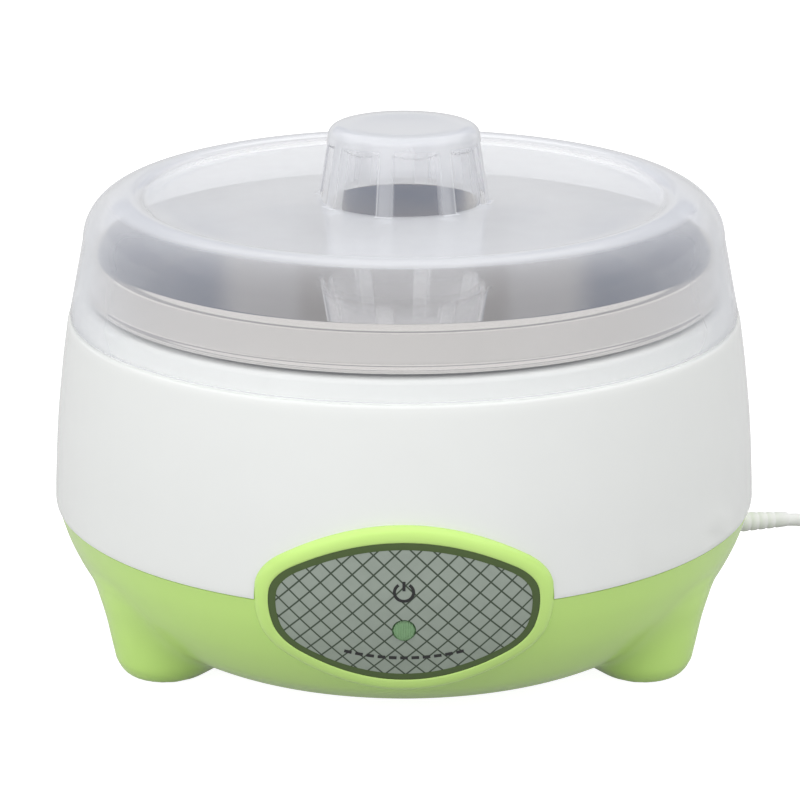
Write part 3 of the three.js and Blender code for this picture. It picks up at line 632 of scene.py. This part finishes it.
def cord_tie():
    """A soft flat strap around the coil's section."""
    inner, outer, bottom, top = 13.0, 25.2, 0.7, 15.9
    middle = filleted([[inner, bottom, 2], [outer, bottom, 2], [outer, top, 2], [inner, top, 2]], 6)
    centre = np.array([(inner + outer) / 2, (bottom + top) / 2])
    section = [
        [-0.05, -1.7], [-0.05, 1.7], [0.1, 2.0], [0.4, 2.0],
        [0.55, 1.7], [0.55, -1.7], [0.4, -2.0], [0.1, -2.0],
    ]
    vertices = []
    for point in middle:
        outward = (point - centre) / np.linalg.norm(point - centre)
        for out, side in section:
            r, z = point + outward * out
            vertices.append([r, side, z])
    faces = grid_faces(len(middle), len(section), wrap_rows=True)
    turn = math.radians(200)
    c, s = math.cos(turn), math.sin(turn)
    placed = [[COIL_X + x * c - y * s, COIL_Y + x * s + y * c, z] for x, y, z in vertices]
    piece = add_mesh("coil_tie", placed, faces, 50)
    return place(piece, "housing", materials["white_plastic"], "white_plastic", "cord_tie")


lead_pieces = [strain_relief(), plug(), cord_tie(), plug_blade(1), plug_blade(2)]
mains_cord, cord_length = add_cord()

# ---- green base ----

BOWL = [[64, BASE_FLOOR_Z], [70.1, 6.5], [77.9, 12], [85.3, 21], [90, 30], [92.9, SEAM_Z - 0.1]]
FOOT = [[0, 0], [8.2, 0], [10.8, 0.9], [12.7, 3.3], [13.8, 7], [16, 20], [15.6, 26], [0, 33]]
FOOT_BLEND = 5.0  # width of the soft join between a foot and the bowl
STAR_CENTRE = np.array([0, 0, SEAM_Z - 0.1])  # the middle of the rim


def outside_distance(r, z, outline):
    """How far points are outside a closed half outline that starts and ends on the axis; negative inside."""
    best = np.full(r.shape, np.inf)
    inside = np.zeros(r.shape, bool)
    for (r0, z0), (r1, z1) in zip(outline[:-1], outline[1:]):
        dr, dz = r1 - r0, z1 - z0
        t = np.clip(((r - r0) * dr + (z - z0) * dz) / max(dr * dr + dz * dz, 1e-9), 0, 1)
        best = np.minimum(best, np.hypot(r - r0 - t * dr, z - z0 - t * dz))
        crosses = (z0 > z) != (z1 > z)
        at = r0 + (z - z0) / (dz if abs(dz) > 1e-9 else 1e-9) * dr
        inside ^= crosses & (r < at)
    return np.where(inside, -best, best)


def distance_field(outline):
    """A quick way to look up `outside_distance` for one outline."""
    step, low_z, high_z, far_r = 0.25, -8.0, 62, 180
    radii, heights = np.arange(0, far_r, step), np.arange(low_z, high_z, step)
    table = outside_distance(*np.meshgrid(radii, heights, indexing="ij"), outline)

    def look_up(r, z):
        u = np.clip(r / step, 0, table.shape[0] - 1.001)
        v = np.clip((z - low_z) / step, 0, table.shape[1] - 1.001)
        i, j = u.astype(int), v.astype(int)
        f, g = u - i, v - j
        near = table[i, j] * (1 - g) + table[i, j + 1] * g
        far = table[i + 1, j] * (1 - g) + table[i + 1, j + 1] * g
        return near * (1 - f) + far * f

    return look_up


def base_distance():
    """A function for the distance outside the bowl joined softly with its three feet."""
    bowl = distance_field([[0, BASE_FLOOR_Z], *smooth_line(BOWL, 24), [96, 60], [0, 60]])
    foot = distance_field([[0, 0], *smooth_line(FOOT[1:-1], 12), FOOT[-1]])

    def at(points):
        x, y, z = points[..., 0], points[..., 1], points[..., 2]
        distance = bowl(np.hypot(x, y), z)
        for azimuth in FOOT_AZIMUTHS:
            cx, cy = around(FOOT_RING_R, azimuth)
            other = foot(np.hypot(x - cx, y - cy), z)
            soft = np.maximum(FOOT_BLEND - np.abs(distance - other), 0) / FOOT_BLEND
            distance = np.minimum(distance, other) - soft * soft * FOOT_BLEND / 4
        return distance

    return at


def base_outside():
    """The base's outer skin: for each way from the middle of its rim, the furthest point that is inside."""
    sides = 288
    steep = np.concatenate([np.linspace(90, 34, 22)[:-1], np.linspace(34, 9, 76)[:-1], np.linspace(9, 0, 16)])
    down, azimuth = np.meshgrid(np.radians(steep), np.radians(np.arange(sides) * 360 / sides), indexing="ij")
    way = np.stack(
        [np.cos(down) * np.sin(azimuth), -np.cos(down) * np.cos(azimuth), -np.sin(down)], axis=2
    )
    distance = base_distance()
    reach, stride, halvings = np.zeros(down.shape), 2.0, 15
    for far in np.arange(30, 112, stride):
        inside = distance(STAR_CENTRE + way * far) < 0
        reach[inside] = far
    low, high = reach, reach + stride
    for _ in range(halvings):
        middle = (low + high) / 2
        inside = distance(STAR_CENTRE + way * middle[..., None]) < 0
        low, high = np.where(inside, middle, low), np.where(inside, high, middle)
    points = STAR_CENTRE + way * low[..., None]
    points[..., 2] = np.maximum(points[..., 2], 0)
    return points, grid_faces(len(steep), sides)


def prism(name, outline, y0, y1):
    """A front outline of [x, z] points as a solid between two distances, as a cutting tool."""
    n = len(outline)
    vertices = [[x, y, z] for y in (y0, y1) for x, z in outline]
    faces = [tuple(range(n)), tuple(range(2 * n - 1, n - 1, -1))]
    faces += [(i, (i + 1) % n, n + (i + 1) % n, n + i) for i in range(n)]
    return add_mesh(name, vertices, faces)


def joined(name, pieces):
    """One mesh object out of several."""
    work = bmesh.new()
    for piece in pieces:
        work.from_mesh(piece.data)
        bpy.data.objects.remove(piece)
    mesh = bpy.data.meshes.new(name)
    work.to_mesh(mesh)
    work.free()
    finish_mesh(mesh, 50)
    made = bpy.data.objects.new(name, mesh)
    bpy.context.scene.collection.objects.link(made)
    return made


def posts(profile):
    """The same turned shape at each of the housing's screws."""
    made = []
    for azimuth in POST_AZIMUTHS:
        x, y = around(POST_RING_R, azimuth)
        made.append(turned(lathe("post", profile, 40), np.eye(3), (x, y, 0)))
    return joined("posts", made)


def base():
    """The green moulding: skin, wall, screw tubes, and the holes for the screws, the lead and the label."""
    points, faces = base_outside()
    piece = add_mesh("base_moulding", points.reshape(-1, 3), faces)
    solidify = piece.modifiers.new("wall", "SOLIDIFY")
    solidify.thickness = WALL * MM
    solidify.offset = -1
    apply_modifiers(piece)
    tube_foot, tube_r, tube_top = BASE_FLOOR_Z + 2.1, 6.4, 12
    boolean(piece, posts([[0, tube_foot], [tube_r, tube_foot], [tube_r, tube_top], [0, tube_top]]), "UNION")
    head_r, shank_r, seat_z, low_z, high_z = 4.2, 2, 9.8, BASE_FLOOR_Z - 2, 13
    screw_hole = [[0, low_z], [head_r, low_z], [head_r, seat_z]]
    screw_hole += [[shank_r, seat_z], [shank_r, high_z], [0, high_z]]
    cord_hole = along_cord(lathe("cord_hole", [[0, 70], [3.6, 70], [3.6, 99], [0, 99]], 40), CORD_Z)
    window = prism("window", panel_outline(0.6), -110, -70)
    boolean(piece, joined("cuts", [posts(screw_hole), cord_hole, window]), "DIFFERENCE")
    return place(piece, "housing", materials["green_plastic"], "green_plastic", "base_shell")


# ---- indicator panel ----

# the panel's front as [radius, height] points about the Z axis
PAD = smooth_line([[84.6, 12], [88, 20.5], [91.7, 30], [93.9, 40], [94.5, 50], [94.6, 64]], 12)


def panel_outline(grow):
    """The panel's outline seen from the front: four bowed edges with round corners, grown by `grow`."""
    corners = np.array([[-30.3, -9.05], [30.3, -9.05], [32, 8.85], [-32, 8.85]])
    width, height = PANEL_HALF_WIDTH, PANEL_HALF_HEIGHT
    middles = np.array([[0, -height], [width, 0], [0, height], [-width, 0]])
    trims = (0.07, 0.2)  # share of a long or short edge that a corner takes
    edge_steps, corner_steps = (26, 12), 7

    def bow(i, t):
        a, m, b = corners[i % 4], middles[i % 4], corners[(i + 1) % 4]
        return (1 - t) ** 2 * a + 2 * t * (1 - t) * (2 * m - (a + b) / 2) + t**2 * b

    points = []
    for i in range(4):
        trim, following = trims[i % 2], trims[(i + 1) % 2]
        points += [bow(i, t) for t in np.linspace(trim, 1 - trim, edge_steps[i % 2] + 1)]
        end, start, corner = points[-1], bow(i + 1, following), corners[(i + 1) % 4]
        for t in np.linspace(0, 1, corner_steps + 2)[1:-1]:
            points.append((1 - t) ** 2 * end + 2 * t * (1 - t) * corner + t**2 * start)
    scale = [(width + grow) / width, (height + grow) / height]
    return np.array(points) * scale + (0, PANEL_CENTRE_Z)


def on_panel(x, z, inset):
    """A point of the panel's front, moved back by `inset`."""
    r = np.interp(z, PAD[:, 1], PAD[:, 0]) - inset
    return [x, -math.sqrt(r * r - x * x), z]


def panel_frame(name, section):
    """A frame around the panel from a section of (grow, inset) pairs."""
    vertices = [on_panel(x, z, inset) for grow, inset in section for x, z in panel_outline(grow)]
    columns = len(panel_outline(0))
    return add_mesh(name, vertices, grid_faces(len(section), columns, wrap_rows=True), 50)


def bezel():
    """The raised rim around the label, rounded outside, with a thin lip over the label's edge."""
    section = [
        [RIM_WIDTH, 7], [RIM_WIDTH, 2.4], [RIM_WIDTH - 0.06, 1.7], [RIM_WIDTH - 0.25, 1.1],
        [RIM_WIDTH - 0.6, 0.6], [RIM_WIDTH - 1.1, 0.25], [RIM_WIDTH - 1.7, 0.05], [1.0, 0.0], [0.4, 0.02],
        [0.0, 0.06], [-0.2, 0.13], [-0.33, 0.22], [-0.35, 0.29], [0.3, 0.3], [0.3, 3.2], [0.3, 7],
    ]
    return place(panel_frame("panel_rim", section), "housing", materials["green_plastic"], "green_plastic")


def panel_face(name, grow, front, back, rings=14):
    """A sheet that follows the panel's front, between two insets."""
    outline = panel_outline(grow)
    centre = np.array([0, PANEL_CENTRE_Z])
    vertices, n = [], len(outline)
    for inset in (front, back):
        for i in range(rings, 0, -1):
            vertices += [on_panel(*(centre + (p - centre) * i / rings), inset) for p in outline]
        vertices.append(on_panel(*centre, inset))
    faces = []
    half = rings * n + 1
    for base_row in (0, half):
        faces += [tuple(base_row + v for v in f) for f in grid_faces(rings, n)]
        last = base_row + (rings - 1) * n
        faces += [(last + i, last + (i + 1) % n, base_row + half - 1) for i in range(n)]
    faces += [(i, (i + 1) % n, half + (i + 1) % n, half + i) for i in range(n)]
    return add_mesh(name, vertices, faces, 50)


def label():
    piece = panel_face("label_foil", 0, 0.4, 1.1)
    hole_r, back, front = LENS_R + 0.04, 80, 96
    hole = lathe("hole", [[0, back], [hole_r, back], [hole_r, front], [0, front]], 48)
    hole = turned(hole, FORWARD, (0, 0, LENS_Z))
    boolean(piece, hole, "DIFFERENCE")
    return place(piece, "housing", materials["silver_label"], "silver_label", "label_plate")


def label_border():
    """The dark printed border, as a thin raised ring on the label."""
    section = [
        [0, 0.42], [0, 0.36], [-0.08, 0.33], [0.08 - BORDER_WIDTH, 0.33], [-BORDER_WIDTH, 0.36],
        [-BORDER_WIDTH, 0.42],
    ]
    ring = panel_frame("label_border_ring", section)
    return place(ring, "housing", materials["label_border"], "label_border")


PRINT_FRONT, PRINT_BACK = 0.34, 0.42  # insets of the printed marks


def printed_strip(name, line, width):
    """A printed line along [x, z] points, a thin raised strip on the label."""
    line = np.array(line, float)
    n = len(line)
    vertices = []
    for i in range(n):
        way = line[min(i + 1, n - 1)] - line[max(i - 1, 0)]
        side = np.array([-way[1], way[0]]) / np.linalg.norm(way) * width / 2
        left, right = line[i] + side, line[i] - side
        corners = ((left, PRINT_BACK), (left, PRINT_FRONT), (right, PRINT_FRONT), (right, PRINT_BACK))
        vertices += [on_panel(*point, inset) for point, inset in corners]
    ends = [(0, 1, 2, 3), (4 * n - 1, 4 * n - 2, 4 * n - 3, 4 * n - 4)]
    faces = grid_faces(n, len(corners)) + ends
    return add_mesh(name, vertices, faces, 50)


def label_marks():
    """A plain power symbol, and a short curved row of dashes under the lens."""
    x, z, r, stroke = 0.0, 44.0, 2.3, 0.75
    open_half = 34
    angles = np.radians(np.linspace(open_half, 360 - open_half, 40))
    ring = [[x + r * math.sin(a), z + r * math.cos(a)] for a in angles]
    bar = [[x, z + r * 1.22], [x, z + r * 0.7], [x, z + r * 0.15]]
    marks = [printed_strip("ring", ring, stroke), printed_strip("bar", bar, stroke)]
    dashes, dash_r, spread, gap, low_z = 11, 64.0, 27.0, 0.4, 25.4
    for i in range(dashes):
        a0 = -spread / 2 + spread * i / dashes
        angles = np.radians(np.linspace(a0 + gap, a0 + spread / dashes - gap, 5))
        line = [[dash_r * math.sin(a), low_z + dash_r * (1 - math.cos(a))] for a in angles]
        marks.append(printed_strip(f"dash_{i}", line, 0.9))
    return place(joined("label_marks", marks), "housing", materials["black_wire"], "black_wire")


def lens():
    """The round window over the lamp, with a flange behind the label."""
    profile = filleted([[0, 87.1], [3.9, 87.1], [3.9, 88.1], [LENS_R, 88.1], [LENS_R, 92.0, 0.4]]) + [
        [LENS_R - 0.4, 92.25], [2.0, 92.42], [1.2, 92.52], [0, 92.56]]
    piece = turned(lathe("lens_window", profile, 64), FORWARD, (0, 0, LENS_Z))
    return place(piece, "housing", materials["green_lens"], "green_lens", "indicator_lens")


# ---- white body ----


def body():
    """The white moulding with the well for the pot, its screw tubes, and the notch for the panel's rim."""
    outer = smooth_line([[93.3, SEAM_Z + 0.2], [93, 46], [92, 61], [90.3, 76], [88.7, 87]], 8)
    well_r, bend = 79.6, 6
    floor_z = WELL_FLOOR_Z
    profile = [[92.6, SEAM_Z + 0.2], [93.15, SEAM_Z + 0.25], *outer[1:-1].tolist()]
    profile += filleted([[88.7, 87], [88.3, LEDGE_Z - 0.2, 0.9], [87.4, LEDGE_Z, 0.3], [85.9, LEDGE_Z, 0.4],
                         [84.9, DECK_Z - 0.9, 0.5], [84.0, DECK_Z, 1.2], [well_r + 0.8, DECK_Z, 1.0],
                         [well_r, DECK_Z - 1.0, 0.6], [well_r, 60]])
    profile += arc(well_r - 7.8, floor_z + bend, bend + 1.8, bend, 0, -90, 10)
    profile += filleted([[60, floor_z], [44, floor_z, 0.8], [44, floor_z - WALL, 0.8], [60, floor_z - WALL]])
    profile += arc(71.8, floor_z + bend, bend + WALL, bend + WALL, -90, 0, 10)
    profile += [[well_r + 2, LEDGE_Z], [82.6, LEDGE_Z + 2.6], [84.2, LEDGE_Z - 2.5], [86.4, 84], [88.1, 76],
                [90, 60], [91, 45], [91.1, SEAM_Z + 0.2]]
    piece = lathe("body_moulding", profile, closed=True)
    boolean(piece, prism("notch", panel_outline(RIM_WIDTH - 0.3), -110, -82.6), "DIFFERENCE")
    tube = [[2, 12.3], [5, 12.3], [5, floor_z - 1], [0, floor_z - 1], [0, 26], [2, 26]]
    boolean(piece, posts(tube), "UNION")
    return place(piece, "housing", materials["white_plastic"], "white_plastic", "body_shell")


# ---- pot and its lid ----


def pot():
    """A thin steel bowl with a stepped bottom and a rolled rim."""
    floor_r, bend, wall = 76.4, 7, 0.8
    profile = [[0, POT_BOTTOM_Z + 0.6], [48, POT_BOTTOM_Z + 0.6], [50, POT_BOTTOM_Z]]
    profile += arc(floor_r - bend, POT_BOTTOM_Z + bend, bend, bend, -90, 0, 14)
    profile += [[POT_R - 0.1, POT_RIM_Z - 4]]
    profile += arc(POT_R + 1.6, POT_RIM_Z - 1.3, 1.4, 1.3, -150, 90, 14)
    profile += [[POT_R, POT_RIM_Z - 0.05], [POT_R - 0.5, POT_RIM_Z - 0.4], [POT_R - wall, POT_RIM_Z - 1.4]]
    profile += arc(floor_r - bend, POT_BOTTOM_Z + bend, bend - wall, bend - wall, 0, -90, 12)
    profile += [[50, POT_BOTTOM_Z + wall], [48, POT_BOTTOM_Z + 0.6 + wall], [0, POT_BOTTOM_Z + 0.6 + wall]]
    piece = lathe("pot_spinning", profile)
    return place(piece, "pot", materials["stainless_steel"], "stainless_steel", "pot")


def pot_lid():
    """A pressed lid: flat top, rounded edge, skirt and a rolled foot."""
    t, edge, foot = 0.7, 2.2, POT_LID_FOOT_Z
    r, z = POT_LID_R, POT_LID_Z
    profile = [[0, z - t], *arc(r - edge, z - edge, edge - t, edge - t, 90, 0, 8), [r - t + 0.2, foot + 2]]
    profile += filleted([[r - t + 0.5, foot + 0.5], [r - t + 0.5, foot, 0.3], [r + 1.0, foot, 0.35],
                         [r + 1.1, foot + 0.9, 0.35], [r + 0.4, foot + 1.7, 0.4], [r + 0.25, foot + 3]])
    profile += [*arc(r - edge, z - edge, edge, edge, 0, 90, 10), [r - edge - 0.4, z]]
    profile += [[r - edge - 1.5, z], [0, z]]
    piece = lathe("pot_lid_pressing", profile)
    return place(piece, "pot_lid", materials["stainless_steel"], "stainless_steel", "pot_lid")


# ---- dome lid ----


def rib(azimuth):
    """1 on a rib of the knob, 0 on the panel between two ribs, and how far across the panel, from -1 to 1."""
    period = 360 / KNOB_RIBS
    from_panel = (azimuth - RIB_AZIMUTH) % period - period / 2
    t = np.clip((period / 2 - np.abs(from_panel) - 4.4) / 2.8, 0, 1)
    return 1 - t * t * (3 - 2 * t), from_panel / (period / 2)


def fluted(r, azimuth, z):
    """Pulls the knob's panels in between its ribs, under a scalloped cap."""
    cap_foot, scallop = KNOB_TOP_Z - 3.4, 1.3
    on_rib, across = rib(azimuth)
    top = cap_foot - scallop * (1 - across**2)
    fade = np.clip((top - z) / 0.6, 0, 1)
    slope = (KNOB_FOOT_R - KNOB_R) / (KNOB_TOP_Z - RECESS_Z)
    outer = r > KNOB_FOOT_R - slope * (z - RECESS_Z) - 0.8
    near = outer & (r < KNOB_FOOT_R + 0.5) & (z > RECESS_Z - 0.1)
    return np.where(near, r - FLUTE_DEPTH * (1 - on_rib) * fade, r)


def dome_lid():
    """The milky lid: shoulder, crest, recess and the hollow fluted knob, as one wall turned about Z."""
    top, wall_top = KNOB_TOP_Z, CREST_R + SHOULDER_WIDTH
    rise = CREST_Z - SHOULDER_Z
    knob_foot, cap_edge = RECESS_Z + 0.25, top - 2.6
    knob = [[KNOB_FOOT_R + (KNOB_R - KNOB_FOOT_R) * t, knob_foot + (cap_edge - knob_foot) * t]
            for t in np.linspace(0, 1, 48)]
    outside = [
        [0, top - 0.06], [KNOB_R - 8, top - 0.04], [KNOB_R - 5.5, top],
        *arc(KNOB_R - 3.4, top - 2.6, 3.4, 2.6, 75, 8, 8), *reversed(knob),
        [KNOB_FOOT_R + 0.12, RECESS_Z + 0.05], [KNOB_FOOT_R + 0.3, RECESS_Z],
        [KNOB_FOOT_R + 0.9, RECESS_Z], [40, RECESS_Z], [56, RECESS_Z],
    ]
    outside += filleted([[62, RECESS_Z], [RECESS_R, RECESS_Z, 1.6], [CREST_R - 2.6, CREST_Z - 0.5, 1.2],
                         [CREST_R - 0.5, CREST_Z]])
    outside += arc(CREST_R, SHOULDER_Z, SHOULDER_WIDTH, rise, 88, 0, 22)
    outside += [[wall_top + (LID_FOOT_R - wall_top) * t, SHOULDER_Z + (LID_FOOT_Z + 0.5 - SHOULDER_Z) * t]
                for t in (0.25, 0.5, 0.75, 1)]
    w = LID_WALL
    inside = [
        [LID_FOOT_R - 0.2, LID_FOOT_Z], [LID_FOOT_R - w + 0.2, LID_FOOT_Z],
        [LID_FOOT_R - w, LID_FOOT_Z + 0.3],
    ]
    inside += arc(CREST_R, SHOULDER_Z, SHOULDER_WIDTH - w, rise - w, 0, 90, 20)
    inside += [[RECESS_R + 1.2, RECESS_Z - w + 0.5], [RECESS_R, RECESS_Z - w], [40, RECESS_Z - w],
               [KNOB_FOOT_R - 1.8, RECESS_Z - w], [KNOB_FOOT_R - 2.6, RECESS_Z - w + 0.4]]
    knob_wall = FLUTE_DEPTH + 1.3
    inside += [
        [KNOB_FOOT_R - knob_wall, RECESS_Z + 0.4], [KNOB_R - knob_wall, top - 4.2],
        *arc(KNOB_R - knob_wall - 2, top - 4.2, 2, 2.7, 15, 80, 5), [12, top - w - 0.1], [0, top - w - 0.3],
    ]
    piece = lathe("dome_moulding", outside + inside, 384, shape=fluted)
    return place(piece, "dome_lid", materials["milky_plastic"], "milky_plastic", "dome_lid")


base()
bezel()
label()
label_border()
label_marks()
lens()
body()
pot()
pot_lid()
dome_lid()

slots = {row["node"]: row["material_slot"] for row in frame["record"]["subparts"]}
for node_name, node in frame["nodes"].items():
    if not node.hide_render:
        node.data.materials.clear()
        node.data.materials.append(materials[slots[node_name]])

# ---- floor and light ----

FLOOR_GLOW = 0.95  # the floor's own light, towards the camera
MIRRORED_GLOW = 0.3  # the share of it that mirrors show
LIT_Z = 60.0  # height that the lights point at
WORLD_STRENGTH = 0.95
STUDIO_WHITE = (1.0, 1.0, 0.99, 1)
SWEEP_BACK = (0.55, 0.54, 0.52, 1)
CEILING = (1.0, 1.0, 1.0, 1)
WALL_MIDDLE = (0.24, 0.23, 0.23, 1)
WALL_PANE = (0.36, 0.36, 0.38, 1)
WALL_BACK = (0.08, 0.1, 0.17, 1)
WALL_SIDE = (0.42, 0.42, 0.44, 1)

# where one part of the studio runs into the next, as x, y or z of a direction of length 1
SWEEP_TOP = (0.238, 0.246)
CEILING_FOOT = (0.5, 0.62)
TO_BACK = (0.55, 0.85)
MIDDLE_SIDE = (0.032, 0.038)
PANE_SIDE = (0.054, 0.066)
SLOT_SIDE = (0.022, 0.019)
SLOT_FOOT = (0.219, 0.226)


def add_floor():
    """A plain pale floor, white to the camera."""
    mesh = bpy.data.meshes.new("floor")
    size = 6.0
    corners = [(-size, -size, 0), (size, -size, 0), (size, size, 0), (-size, size, 0)]
    mesh.from_pydata(corners, [], [(0, 1, 2, 3)])
    floor = bpy.data.objects.new("floor", mesh)
    bpy.context.scene.collection.objects.link(floor)
    s = Surface("floor")
    tint = s.blend(s.noise(2), (0.4, 0.4, 0.4, 1), (0.38, 0.38, 0.38, 1))
    path = s.add("LightPath", {}).outputs
    seen = s.math("MULTIPLY_ADD", path["Is Glossy Ray"], MIRRORED_GLOW, path["Is Camera Ray"])
    glow = s.math("MULTIPLY", seen, FLOOR_GLOW)
    inputs = {"Base Color": tint, "Roughness": 0.9, "Emission Color": (1, 1, 1, 1), "Emission Strength": glow}
    mesh.materials.append(s.finish(s.add("BsdfPrincipled", inputs).outputs[0]))


def add_light(name, place_m, size, power):
    """A soft panel of light that points at the object."""
    data = bpy.data.lights.new(name, "AREA")
    data.shape = "RECTANGLE"
    data.size, data.size_y = size
    data.energy = power
    light = bpy.data.objects.new(name, data)
    bpy.context.scene.collection.objects.link(light)
    light.visible_glossy = False
    light.location = place_m
    light.rotation_mode = "QUATERNION"
    way = Vector((0, 0, LIT_Z * MM)) - Vector(place_m)
    light.rotation_quaternion = way.to_track_quat("-Z", "Y")


def add_world():
    """A studio by direction: a white sweep low down, walls that are dark behind, and a white ceiling."""
    world = bpy.data.worlds.new("studio")
    bpy.context.scene.world = world
    world.use_nodes = True
    s = Surface("studio", world.node_tree)
    parts = s.add("SeparateXYZ", {"Vector": s.add("TexCoord", {}).outputs["Generated"]}).outputs
    aside = s.math("ABSOLUTE", parts["X"])
    pane = s.blend(s.ramp(aside, *MIDDLE_SIDE), WALL_MIDDLE, WALL_PANE)
    back = s.blend(s.ramp(aside, *PANE_SIDE), pane, WALL_BACK)
    to_back = s.ramp(parts["Y"], *TO_BACK)
    wall = s.blend(to_back, WALL_SIDE, back)
    above = s.blend(s.ramp(parts["Z"], *CEILING_FOOT), wall, CEILING)
    slot = s.math("MULTIPLY", s.ramp(aside, *SLOT_SIDE), s.ramp(parts["Z"], *SLOT_FOOT))
    behind = s.blend(slot, SWEEP_BACK, WALL_BACK)
    sweep = s.blend(to_back, STUDIO_WHITE, behind)
    color = s.blend(s.ramp(parts["Z"], *SWEEP_TOP), sweep, above)
    background = s.add("Background", {"Color": color, "Strength": WORLD_STRENGTH})
    s.tree.links.new(background.outputs[0], s.output.inputs["Surface"])


add_floor()
add_light("key", (-1.2, -1.1, 1.0), (1.4, 1.0), 12.1)
add_light("fill", (1.1, -1.0, 1.2), (0.9, 0.9), 7.2)
add_light("top", (0.1, 0.3, 1.8), (1.6, 1.2), 1.5)
add_world()

scene = bpy.context.scene
scene.view_settings.view_transform = "Standard"
scene.cycles.transparent_max_bounces = 24
